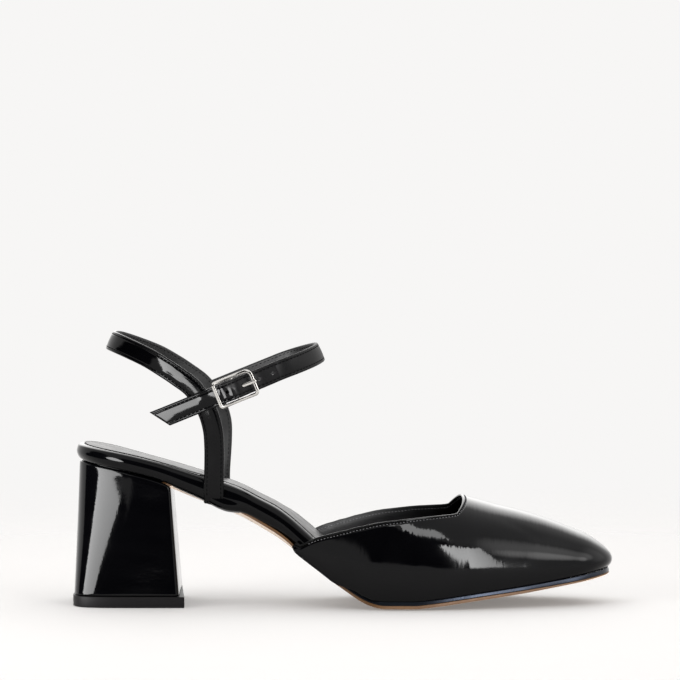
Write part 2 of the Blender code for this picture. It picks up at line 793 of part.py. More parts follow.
def prong_path():
    """Prong from its eye round the centre bar to its end on the front bar."""
    eye = BAR_RADIUS + GAP + PRONG_RADIUS
    path = []
    for i in range(11):
        angle = math.radians(200.0 - 290.0 * i / 10)
        path.append(strap_place(-eye * math.cos(angle), BAR_OUT - eye * math.sin(angle)))
    end_out = END_BAR_OUT + WIRE_RADIUS + GAP + PRONG_RADIUS
    end = BUCKLE_REACH + PRONG_PAST_BAR
    start_out = BAR_OUT + eye
    for i in range(1, 5):
        share = i / 4
        path.append(strap_place(end * share, start_out + (end_out - start_out) * share))
    return path


def build_ankle_strap(finish, collection, cutters):
    """Ankle strap, woven through the buckle, with the hole that the prong passes."""
    rows = ribbon(ankle_path(), ankle_facing, STRAP_WIDTH, (TAIL_SLANT, 0.0))
    made = strip("ankle_strap", rows, STRAP, 0.0, finish, collection)
    cutter = tube("prong_cutter", prong_path()[10:], PRONG_RADIUS + GAP, False, None, cutters)
    hide_cutter(cutter)
    combine(made, cutter, "DIFFERENCE")


def build_buckle(finishes, collection, cutters):
    """Bowed frame with its centre bar, and the prong."""
    reach = BUCKLE_REACH
    half = BUCKLE_OPENING / 2 + WIRE_RADIUS
    corner = BUCKLE_CORNER
    outline = []
    for turn in range(4):
        centre_along = (reach - corner) * (1 if turn in (0, 3) else -1)
        centre_lift = (half - corner) * (1 if turn in (0, 1) else -1)
        for i in range(5):
            angle = math.pi / 2 * (turn + i / 4)
            along = centre_along + corner * math.cos(angle)
            outline.append((along, centre_lift + corner * math.sin(angle)))
        if turn in (0, 2):
            middle_lift = half if turn == 0 else -half
            ends = (1, -1) if turn == 0 else (-1, 1)
            outline.append((ends[0] * reach / 3, middle_lift))
            outline.append((0.0, middle_lift))
            outline.append((ends[1] * reach / 3, middle_lift))

    def bow(along):
        return BAR_OUT + (END_BAR_OUT - BAR_OUT) * (along / reach) ** 2

    points = [strap_place(along, bow(along), lift) for along, lift in outline]
    frame = tube("buckle_frame", points, WIRE_RADIUS, True, finishes["buckle_frame"], collection)
    bar_ends = [strap_place(0.0, BAR_OUT, lift) for lift in (-half, half)]
    bar = tube("centre_bar", bar_ends, BAR_RADIUS, False, None, cutters)
    hide_cutter(bar)
    combine(frame, bar, "UNION")
    tube("buckle_prong", prong_path(), PRONG_RADIUS, False, finishes["buckle_prong"], collection)


def build_buckle_tab(finish, collection, cutters):
    """Tab on the heel strap, folded round the centre bar, with a slot for the prong's eye."""
    flat_out = ANKLE_HALF_WIDTH + STRAP / 2 + GAP + TAB / 2
    fold = BAR_RADIUS + GAP + TAB / 2
    path = [strap_place(along, flat_out) for along in even_stations(TAB_START, TAB_FLAT_END, 5)]
    path.append(strap_place(TAB_RISE[0], flat_out + TAB_RISE[1]))
    for i in range(9):
        angle = math.radians(-100.0 + 200.0 * i / 8)
        path.append(strap_place(fold * math.cos(angle), BAR_OUT + fold * math.sin(angle)))
    path += [strap_place(along, BAR_OUT + out) for along, out in TAB_RETURN]

    def facing(point):
        return tab_facing(point, path)

    made = strip("buckle_tab", ribbon(path, facing, TAB_WIDTH), TAB, 0.0, finish, collection)
    slot = add_box("tab_slot", TAB_SLOT_REAR, TAB_SLOT_REACH, TAB_SLOT, cutters)
    hide_cutter(slot)
    combine(made, slot, "DIFFERENCE")


def tab_facing(point, path):
    """Direction across the tab's thickness where it folds round the bar."""
    i = min(range(len(path)), key=lambda k: (path[k] - point).length)
    along = path[min(i + 1, len(path) - 1)] - path[max(i - 1, 0)]
    up = strap_place(0.0, 0.0, 1.0) - strap_place(0.0, 0.0, 0.0)
    return along.cross(up).normalized()


def add_box(name, along_from, reach, width, collection):
    """Box round the centre bar in the strap's own directions, from along_from to its reach."""
    points = []
    for lift in (-width / 2, width / 2):
        for along, out in ((along_from, -reach), (reach, -reach), (reach, reach), (along_from, reach)):
            points.append(strap_place(along, BAR_OUT + out, lift))
    faces = [(0, 1, 2, 3), (7, 6, 5, 4)]
    faces += [(i, i + 4, (i + 1) % 4 + 4, (i + 1) % 4) for i in range(4)]
    made = add_object(name, points, faces, None, collection)
    shape = bmesh.new()
    shape.from_mesh(made.data)
    bmesh.ops.recalc_face_normals(shape, faces=shape.faces)
    shape.to_mesh(made.data)
    shape.free()
    return made


def main():
    """Clear the scene and build the shoe."""
    for old in list(bpy.data.objects):
        bpy.data.objects.remove(old)
    shoe = bpy.data.collections.new("block_heel_pump")
    cutters = bpy.data.collections.new("cutters")
    bpy.context.scene.collection.children.link(shoe)
    bpy.context.scene.collection.children.link(cutters)

    black = (0.006, 0.006, 0.007)
    steel = (0.72, 0.72, 0.73)
    finishes = {
        "top_lift": material("top_lift_rubber", (0.022, 0.021, 0.023), 0.65),
        "heel_block": material("heel_block_patent", black, 0.08),
        "outsole": material("outsole_leather", (0.22, 0.12, 0.07), 0.55),
        "midsole": material("midsole_leather", black, 0.2),
        "footbed": material("footbed_patent", black, 0.12),
        "insole": material("insole_lining", (0.03, 0.03, 0.032), 0.7),
        "vamp": material("vamp_patent", black, 0.08),
        "heel_strap": material("heel_strap_patent", black, 0.1),
        "ankle_strap": material("ankle_strap_patent", black, 0.1),
        "buckle_tab": material("buckle_tab_patent", black, 0.12),
        "buckle_frame": material("buckle_frame_steel", steel, 0.15, 1.0),
        "buckle_prong": material("buckle_prong_steel", steel, 0.15, 1.0),
    }
    build_top_lift(finishes["top_lift"], shoe)
    build_heel_block(finishes["heel_block"], shoe)
    build_outsole(finishes["outsole"], shoe)
    build_midsole(finishes["midsole"], shoe)
    build_footbed(finishes["footbed"], shoe)
    build_insole(finishes["insole"], shoe)
    build_vamp(finishes["vamp"], shoe)
    build_heel_strap(finishes["heel_strap"], shoe)
    build_ankle_strap(finishes["ankle_strap"], shoe, cutters)
    build_buckle_tab(finishes["buckle_tab"], shoe, cutters)
    build_buckle(finishes, shoe, cutters)


main()
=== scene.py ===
"""Looks of a block heel pump in black patent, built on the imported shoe.

The shoe stands at z = 0 with the toe towards +X and the inner (medial) side towards +Y.
Sizes in the classes are millimetres, and the meshes are made in metres.
"""

from __future__ import annotations

import logging
import math
from bisect import bisect_right
from dataclasses import dataclass, field
from enum import Enum, IntEnum
from typing import Callable, NamedTuple, Sequence

import bmesh
import bpy
import numpy as np
from mathutils import Matrix, Quaternion, Vector

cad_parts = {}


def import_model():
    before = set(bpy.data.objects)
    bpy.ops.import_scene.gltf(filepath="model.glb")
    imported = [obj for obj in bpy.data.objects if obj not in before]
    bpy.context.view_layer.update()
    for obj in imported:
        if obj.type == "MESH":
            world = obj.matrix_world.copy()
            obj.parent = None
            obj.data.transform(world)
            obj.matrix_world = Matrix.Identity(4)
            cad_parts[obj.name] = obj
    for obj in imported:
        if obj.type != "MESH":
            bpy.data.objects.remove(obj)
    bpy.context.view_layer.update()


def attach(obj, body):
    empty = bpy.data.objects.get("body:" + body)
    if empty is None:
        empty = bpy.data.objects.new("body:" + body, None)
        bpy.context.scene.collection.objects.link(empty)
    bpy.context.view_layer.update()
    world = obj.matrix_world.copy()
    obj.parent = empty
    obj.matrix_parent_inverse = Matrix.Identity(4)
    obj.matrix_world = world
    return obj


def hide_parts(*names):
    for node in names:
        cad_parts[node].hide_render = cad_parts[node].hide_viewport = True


LOG = logging.getLogger("block_heel_pump")
MM = 0.001
BODY = "root"
PHOTO_PIXELS = 680
MERGE = 1e-6
LEAST_WIDTH = 1e-6
LEAST_LENGTH = 1e-12
EDGE_STEPS = 4
WIRE_SIDES = 24
OUTWARD = (0.0, -1.0, 0.0)

# Most values of a noise lie between these
NOISE_LOW = 0.3
NOISE_HIGH = 0.7

Material = bpy.types.Material
NodeTree = bpy.types.NodeTree
Socket = bpy.types.NodeSocket
Piece = bpy.types.Object
Materials = Sequence[bpy.types.Material]
Inputs = dict[str | int, object]
Array = np.ndarray
Span = tuple[float, float]
Point = tuple[float, float, float]
Along = Callable[[float], float]


class Side(IntEnum):
    """Side of the shoe, as its sign along Y."""

    LATERAL = -1
    MEDIAL = 1


class Grain(Enum):
    """What the patterns of a finish follow."""

    SHOE = "Object"
    STRAP = "UV"


class PlanRow(NamedTuple):
    """Widest line of the last at one place along the shoe."""

    x: float
    lateral: float
    medial: float


class SoleRow(NamedTuple):
    """Height of the tread and thickness of the footbed at one place along the shoe."""

    x: float
    tread: float
    rim: float


class UpperRow(NamedTuple):
    """Crown, topline, height of the widest line and its bulge at one place along the shoe."""

    x: float
    crown: float
    topline: float
    belly: float
    bulge: float


class ArchRow(NamedTuple):
    """How far the footbed is raised, or else lowered, on its medial side at one place along the shoe."""

    x: float
    rise: float


class FoldRow(NamedTuple):
    """One point of the heel strap's centre line on one side."""

    x: float
    out: float
    z: float


class HeelEnd(NamedTuple):
    """Outline of the heel at its foot or its top."""

    back: float
    half_width: float
    squareness: float
    corner: float


class Curve:
    """Monotone cubic through one column of a table."""

    def __init__(self, rows: Sequence[NamedTuple], column: str) -> None:
        """Take the column's values.

        Args:
            rows: Table whose rows have x and the column.
            column: Name of the column.
        """
        self.xs = [row.x for row in rows]
        self.values = [getattr(row, column) for row in rows]
        spans = zip(self.xs, self.xs[1:], self.values, self.values[1:])
        steps = [(high - low) / (end - start) for start, end, low, high in spans]
        pairs = zip(steps, steps[1:])
        inner = [2 * a * b / (a + b) if a * b > 0 else 0.0 for a, b in pairs]
        self.slopes = [steps[0], *inner, steps[-1]]

    def __call__(self, x: float) -> float:
        """Return the value at x, level past both ends."""
        if x <= self.xs[0]:
            return self.values[0]
        if x >= self.xs[-1]:
            return self.values[-1]
        i = bisect_right(self.xs, x) - 1
        span = self.xs[i + 1] - self.xs[i]
        t = (x - self.xs[i]) / span
        return (
            self.values[i] * (1 + 2 * t) * (1 - t) ** 2
            + self.slopes[i] * span * t * (1 - t) ** 2
            + self.values[i + 1] * t * t * (3 - 2 * t)
            - self.slopes[i + 1] * span * t * t * (1 - t)
        )


def ease(x: float, start: float, end: float) -> float:
    """Return a smooth step from 0 at start to 1 at end."""
    t = min(max((x - start) / (end - start), 0.0), 1.0)
    return t * t * (3 - 2 * t)


def round_off(x: float, start: float, tip: float, squareness: float) -> float:
    """Return the share of the full size left at x where an end rounds off towards its tip."""
    share = min(max((x - start) / (tip - start), 0.0), 1.0)
    return (1 - share**squareness) ** (1 / squareness)


def end_stations(start: float, tip: float, squareness: float, count: int) -> list[float]:
    """Return stations from just past start to the tip, closer together where the end turns."""
    angles = [math.pi / 2 * i / count for i in range(1, count + 1)]
    return [start + (tip - start) * math.sin(angle) ** (2 / squareness) for angle in angles]


def quarter_turn(steps: int) -> list[Span]:
    """Return the sine and the cosine at even steps through a quarter turn, with both ends."""
    angles = [math.pi / 2 * i / steps for i in range(steps + 1)]
    return [(math.sin(angle), math.cos(angle)) for angle in angles]


def unit(vectors: Array) -> Array:
    """Return the vectors at length 1."""
    lengths = np.linalg.norm(vectors, axis=-1, keepdims=True)
    return vectors / np.maximum(lengths, LEAST_LENGTH)


def rounded(shares: Array) -> Array:
    """Return how full an end is at shares of the run over which it rounds off."""
    return np.sqrt(np.clip(1 - (1 - np.minimum(shares, 1.0)) ** 2, 0.0, 1.0))


def smoothed(values: Array, reach: int) -> Array:
    """Return a moving average along the first axis that keeps both ends.

    Args:
        values: Array to smooth.
        reach: Neighbours taken on each side, fewer towards the ends.

    Returns:
        Array of the same shape.
    """
    made = values.copy()
    last = len(values) - 1
    for i in range(len(values)):
        near = min(reach, i, last - i)
        made[i] = values[i - near : i + near + 1].mean(axis=0)
    return made


def lengths_along(points: Array) -> Array:
    """Return each point's distance from the first, along the line."""
    steps = np.linalg.norm(np.diff(points, axis=0), axis=1)
    return np.concatenate([[0.0], np.cumsum(steps)])


def values_at(distances: Array, lengths: Array, values: Array) -> Array:
    """Return a line's values at the given distances, from those at its own lengths."""
    return np.stack([np.interp(distances, lengths, values[:, k]) for k in range(3)], axis=1)


def sample(points: Array, distances: Array) -> Array:
    """Return the places at the given distances along a line of points."""
    return values_at(distances, lengths_along(points), points)


def resampled(points: Array, spacing: float) -> Array:
    """Return the line of points at even spacing."""
    length = lengths_along(points)[-1]
    return sample(points, np.linspace(0.0, length, int(length / spacing) + 2))


def spline(points: Array, steps: int) -> Array:
    """Return a smooth curve through the points, whose slope at each comes from its neighbours.

    Args:
        points: Points to pass through.
        steps: Number of steps between two of them.

    Returns:
        Points of the curve.
    """
    ends = np.concatenate([[2 * points[0] - points[1]], points, [2 * points[-1] - points[-2]]])
    curve = []
    for a, b, c, d in zip(ends, ends[1:], ends[2:], ends[3:]):
        bend = 2 * a - 5 * b + 4 * c - d
        swing = 3 * b - a - 3 * c + d
        for step in range(steps):
            t = step / steps
            curve.append(b + (t * (c - a) + t * t * bend + t**3 * swing) / 2)
    return np.array(curve + [points[-1]])


@dataclass
class Last:
    """Shape that the shoe is made on, with the thicknesses of the layers below it."""

    length: float = 240.0
    ball_width: float = 77.2
    heel_height: float = 63.0
    toe_spring: float = 12.4
    throat_height: float = 47.8
    gap: float = 0.3
    wall: float = 1.8
    outsole: float = 1.2
    midsole: float = 1.3
    insole: float = 1.0
    top_lift: float = 4.9
    breast_top: float = -76.2
    midsole_rear: float = -4.0
    toe_round_from: float = 103.0
    toe_squareness: float = 2.6
    heel_round_from: float = -94.0
    heel_round_tip: float = -120.9
    heel_squareness: float = 2.2
    tread_edge_rise: float = 0.7
    sole_edge_band: float = 9.0
    sole_toe_band: float = 6.0
    sole_toe_run: float = 30.0
    sole_inset_waist: float = 5.0
    sole_inset_hidden: float = 2.7
    sole_proud: float = 0.4
    sole_emerges: float = 6.0
    sole_proud_from: float = 17.0
    edge_rise_run: Span = (-4.0, 8.0)
    footbed_step_run: Span = (-10.0, -1.0)
    waist: Span = (-40.0, -20.0)
    seam: float = 0.04
    camber: float = 2.2
    camber_front: Span = (-27.0, -12.0)
    camber_rear: Span = (-79.0, -74.0)
    wrap_raise: float = 0.11
    wrap_rear: Span = (-53.0, -42.0)
    tuck_x: float = -53.5
    tuck_half_length: float = 8.5
    tuck_drop: float = 0.14
    tuck_out: float = 1.4
    medial_lip: float = 0.5
    arch_least_half_width: float = 1.0
    toe_feather: float = 0.8
    feather_run: Span = (60.0, 116.0)
    section_fullness: float = 2.25
    crown_round_from: float = 106.0
    crown_squareness: float = 2.2
    edge_wraps_until: float = -6.0
    station_space: float = 1.6
    end_turns: int = 28

    def __post_init__(self) -> None:
        """Lay out the tables of the last from its driving sizes."""
        self.toe_tip = self.length / 2
        ball, heel, spring = self.ball_width, self.heel_height, self.toe_spring
        rows = (
            (-92.0, -25.9, 30.9),
            (-57.0, -24.4, 29.4),
            (-38.0, -24.8, 26.8),
            (-20.0, -28.3, 26.2),
            (0.0, -34.0, 30.2),
            (20.0, -0.494 * ball, 0.468 * ball),
            (35.0, -0.5 * ball, 0.5 * ball),
            (55.0, -0.463 * ball, 0.49 * ball),
            (80.0, -28.0, 33.2),
            (100.0, -20.3, 27.8),
            (120.0, -13.5, 22.5),
        )
        plan = [PlanRow(*row) for row in rows]
        rows = (
            (-118.5, heel, 7.2),
            (-100.0, 0.944 * heel, 7.8),
            (-82.0, 0.868 * heel, 8.4),
            (-67.6, 0.768 * heel, 10.2),
            (-45.5, 0.629 * heel, 11.8),
            (-36.7, 0.552 * heel, 12.2),
            (-27.8, 0.467 * heel, 12.8),
            (-15.0, 0.313 * heel, 11.6),
            (0.0, 0.131 * heel, 6.6),
            (5.0, 0.073 * heel, 5.2),
            (9.0, 0.036 * heel, 4.4),
            (13.0, 0.013 * heel, 3.8),
            (18.0, 0.0, 3.4),
            (31.0, 0.0, 3.2),
            (39.0, 0.06 * spring, 3.2),
            (60.0, 0.28 * spring, 3.2),
            (80.0, 0.48 * spring, 3.2),
            (100.0, 0.715 * spring, 3.2),
            (119.0, spring, 3.2),
        )
        sole = [SoleRow(*row) for row in rows]
        rows = (
            (-24.0, 84.0, 28.0, 0.4, 0.3),
            (-16.8, 80.0, 30.4, 4.0, 0.8),
            (-10.0, 76.0, 32.6, 7.0, 1.2),
            (1.0, 70.0, 35.7, 9.5, 1.6),
            (8.0, 66.5, 37.5, 11.0, 1.8),
            (16.0, 62.5, 39.2, 12.0, 1.9),
            (25.0, 58.0, 40.3, 12.5, 2.0),
            (34.0, 54.5, 41.2, 12.5, 2.0),
            (54.2, self.throat_height, 42.3, 11.0, 2.0),
            (70.0, 43.4, 42.3, 9.0, 1.9),
            (82.0, 40.2, 42.3, 7.2, 1.8),
            (94.0, 36.2, 42.3, 5.6, 1.8),
            (106.0, 31.4, 42.3, 4.2, 1.8),
            (120.0, 25.8, 42.3, 3.2, 1.8),
        )
        upper = [UpperRow(*row) for row in rows]
        rows = (
            (-116.0, 0.0),
            (-84.0, -2.4),
            (-64.0, -1.9),
            (-45.0, -2.0),
            (-28.0, -1.7),
            (-20.0, 0.0),
            (-13.0, 0.7),
            (-5.0, 0.6),
            (6.0, 0.0),
        )
        arch = [ArchRow(*row) for row in rows]
        self.arch_rise = Curve(arch, "rise")
        self.lateral, self.medial = Curve(plan, "lateral"), Curve(plan, "medial")
        self.tread, self.rim = Curve(sole, "tread"), Curve(sole, "rim")
        self.crown, self.topline = Curve(upper, "crown"), Curve(upper, "topline")
        self.belly_rise, self.bulge = Curve(upper, "belly"), Curve(upper, "bulge")

    def middle(self, x: float) -> float:
        """Return the middle of the last across the shoe."""
        return (self.lateral(x) + self.medial(x)) / 2

    def half_width(self, x: float) -> float:
        """Return half the last's greatest width, rounded off at the toe and the heel."""
        toe = round_off(x, self.toe_round_from, self.toe_tip, self.toe_squareness)
        heel = round_off(x, self.heel_round_from, self.heel_round_tip, self.heel_squareness)
        return (self.medial(x) - self.lateral(x)) / 2 * toe * heel

    def footbed_inset(self, x: float) -> float:
        """Return how far the footbed's rim lies inside the last's widest line."""
        return self.bulge(x) + self.wall + self.gap

    def sole_inset(self, x: float) -> float:
        """Return how far the sole's edge lies inside the last's widest line."""
        waist = 1 - ease(x, *self.waist)
        hidden = self.sole_inset_hidden + (self.sole_inset_waist - self.sole_inset_hidden) * waist
        shown = ease(x, self.sole_emerges, self.sole_proud_from)
        return self.bulge(x) + hidden - (hidden + self.sole_proud) * shown

    def level_inset(self, x: float) -> float:
        """Return how far the level middle of the sole lies inside the last's widest line."""
        band = min(1.0, (self.toe_tip + self.sole_toe_band - x) / self.sole_toe_run)
        return self.sole_inset(x) + self.sole_edge_band * band

    def edge_rise(self, x: float) -> float:
        """Return how far the sole's edge stands above its middle, in the forefoot only."""
        start, end = self.edge_rise_run
        return self.tread_edge_rise * ease(x, self.midsole_rear + start, self.midsole_rear + end)

    def waist_share(self, x: float) -> float:
        """Return 1 at the waist, whose underside is rounded, and 0 at the heel and in front."""
        return ease(x, *self.camber_rear) * (1 - ease(x, *self.camber_front))

    def arch(self, ring: Array, lip: float = 0.0) -> Array:
        """Raise a ring of the footbed towards its medial side.

        Args:
            ring: Points in millimetres.
            lip: Height added to the arch's own rise.

        Returns:
            The raised ring.
        """
        raised = ring.copy()
        for place in raised:
            x, y, _ = place
            across = (y - self.middle(x)) / max(self.half_width(x), self.arch_least_half_width)
            place[2] += (min(max(across, -1.0), 1.0) + 1) / 2 * (self.arch_rise(x) + lip)
        return raised

    def wrap_start(self, x: float) -> float:
        """Return where the footbed's wrap starts above its lower face, as a share of the rim.

        It clears the sole's rounded underside at the waist and hangs lower over the tucked strap.
        """
        raised = ease(x, *self.wrap_rear) * (1 - ease(x, *self.camber_front))
        return self.wrap_raise * raised - self.tuck_drop * self.tuck_share(x)

    def tuck_share(self, x: float) -> float:
        """Return 1 where the heel strap is tucked in below the footbed, falling to 0 beside it."""
        return math.exp(-(((x - self.tuck_x) / self.tuck_half_length) ** 2))

    def feather(self, x: float) -> float:
        """Return how much thinner the outsole gets towards the toe."""
        return self.toe_feather * ease(x, *self.feather_run)

    def midsole_under(self, x: float) -> float:
        """Return the height of the midsole's lower face."""
        return self.tread(x) + self.outsole + self.gap

    def footbed_under(self, x: float) -> float:
        """Return the height of the footbed's lower face, which steps up over the midsole."""
        step = self.midsole + self.gap + self.tread_edge_rise
        start, end = self.footbed_step_run
        return self.midsole_under(x) + step * ease(x, self.midsole_rear + start, self.midsole_rear + end)

    def footbed_top(self, x: float) -> float:
        """Return the height of the footbed's upper face."""
        return self.footbed_under(x) + self.rim(x)

    def vamp_edge(self, x: float) -> float:
        """Return the height of the vamp's lower edge, on the midsole in front."""
        over = self.outsole + self.midsole + 2 * self.gap + self.tread_edge_rise
        return self.tread(x) + over * ease(x, self.edge_wraps_until, self.sole_emerges)

    def vamp_belly(self, x: float) -> float:
        """Return the height of the vamp's widest line."""
        return self.vamp_edge(x) + self.belly_rise(x)

    def vamp_height(self, x: float, across: float) -> float:
        """Return the height of the vamp, with across from the middle (0) to the widest line (1)."""
        belly = self.vamp_belly(x)
        toe = round_off(x, self.crown_round_from, self.toe_tip, self.crown_squareness)
        fall = (1 - min(abs(across), 1.0) ** self.section_fullness) ** (1 / self.section_fullness)
        return belly + (self.crown(x) - belly) * toe * fall

    def topline_across(self, x: float) -> float:
        """Return the place of the topline from the middle (0) to the widest line (1)."""
        belly = self.vamp_belly(x)
        rise = (self.topline(x) - belly) / (self.crown(x) - belly)
        return (1 - rise**self.section_fullness) ** (1 / self.section_fullness)

    def stations(self, rear: float, front: float | None = None) -> list[float]:
        """Return fine stations along the shoe, through the rounded ends where they are included.

        Args:
            rear: First station, or the heel's tip for the whole rounded heel.
            front: Last station, or None for the whole rounded toe.

        Returns:
            Stations in rising order.
        """
        made = []
        start = rear
        if rear <= self.heel_round_tip:
            start = self.heel_round_from
            made += end_stations(start, self.heel_round_tip, self.heel_squareness, self.end_turns)[::-1]
        end = self.toe_round_from if front is None else front
        count = max(2, int((end - start) / self.station_space))
        made += [start + (end - start) * i / count for i in range(count + 1)]
        if front is None:
            made += end_stations(end, self.toe_tip, self.toe_squareness, self.end_turns)
        return made

    def ring(self, stations: Sequence[float], inset: Along, height: Along) -> Array:
        """Return the last's outline moved inwards, as a closed ring.

        The ring starts at the rear end on the middle line, runs forward on the lateral side,
        passes the front end and comes back on the medial side.

        Args:
            stations: Places along the shoe.
            inset: How far the ring lies inside the widest line.
            height: Height of the ring.

        Returns:
            Points in millimetres.
        """
        sides = [(x, self.middle(x), self.half_width(x)) for x in stations]
        wide = [row for row in sides if row[2] > LEAST_WIDTH]
        plan = [(sides[0][0], sides[0][1])]
        plan += [(x, middle - half) for x, middle, half in wide]
        plan += [(sides[-1][0], sides[-1][1])]
        plan += [(x, middle + half) for x, middle, half in reversed(wide)]
        line = np.array(plan)
        before = unit(line - np.roll(line, 1, axis=0))
        after = unit(np.roll(line, -1, axis=0) - line)
        along = unit(before + after)
        reach = np.array([inset(x) for x in line[:, 0]]) / (along * before).sum(axis=1)
        moved = line + np.stack([-along[:, 1], along[:, 0]], axis=1) * reach[:, None]
        heights = [height(x) for x in moved[:, 0]]
        return np.column_stack([moved, heights])


def folded_in(ring: Array) -> Array:
    """Return a ring laid on its own middle line, which closes the face inside it."""
    opposite = np.roll(ring[::-1], 1, axis=0)
    return (ring + opposite) / 2


def linear(colour: str) -> tuple[float, float, float, float]:
    """Return an sRGB hex colour as linear values with full alpha."""
    parts = [int(colour[i : i + 2], 16) / 255 for i in (1, 3, 5)]
    made = [c / 12.92 if c <= 0.04045 else ((c + 0.055) / 1.055) ** 2.4 for c in parts]
    return (made[0], made[1], made[2], 1.0)


def set_inputs(tree: NodeTree, node: bpy.types.Node, inputs: Inputs) -> None:
    """Set a node's inputs.

    Args:
        tree: Node tree that holds it.
        node: The node.
        inputs: Values, or sockets to link, by input name or number.
    """
    for name, value in inputs.items():
        if isinstance(value, Socket):
            tree.links.new(value, node.inputs[name])
        else:
            node.inputs[name].default_value = value


def add_node(tree: NodeTree, kind: str, inputs: Inputs | None = None, **settings: object) -> bpy.types.Node:
    """Add one node with its settings, values and links.

    Args:
        tree: Node tree that takes it.
        kind: Type of the node.
        inputs: Values, or sockets to link, by input name or number.
        settings: Properties of the node.

    Returns:
        The node.
    """
    node = tree.nodes.new(kind)
    for name, value in settings.items():
        setattr(node, name, value)
    set_inputs(tree, node, inputs or {})
    return node


def per_metre(sizes: Sequence[float]) -> tuple[float, ...]:
    """Return how many features of a size in millimetres fit in a metre, for each axis."""
    return tuple(1 / (size * MM) for size in sizes)


def start_finish(
    name: str, grain: Grain = Grain.SHOE
) -> tuple[Material, NodeTree, bpy.types.Node, Socket]:
    """Start a material.

    Args:
        name: Name of the material.
        grain: What its patterns follow.

    Returns:
        The material, its node tree, its Principled shader and its coordinates.
    """
    made = bpy.data.materials.new(name)
    made.use_nodes = True
    tree = made.node_tree
    coords = add_node(tree, "ShaderNodeTexCoord").outputs[grain.value]
    return made, tree, tree.nodes["Principled BSDF"], coords


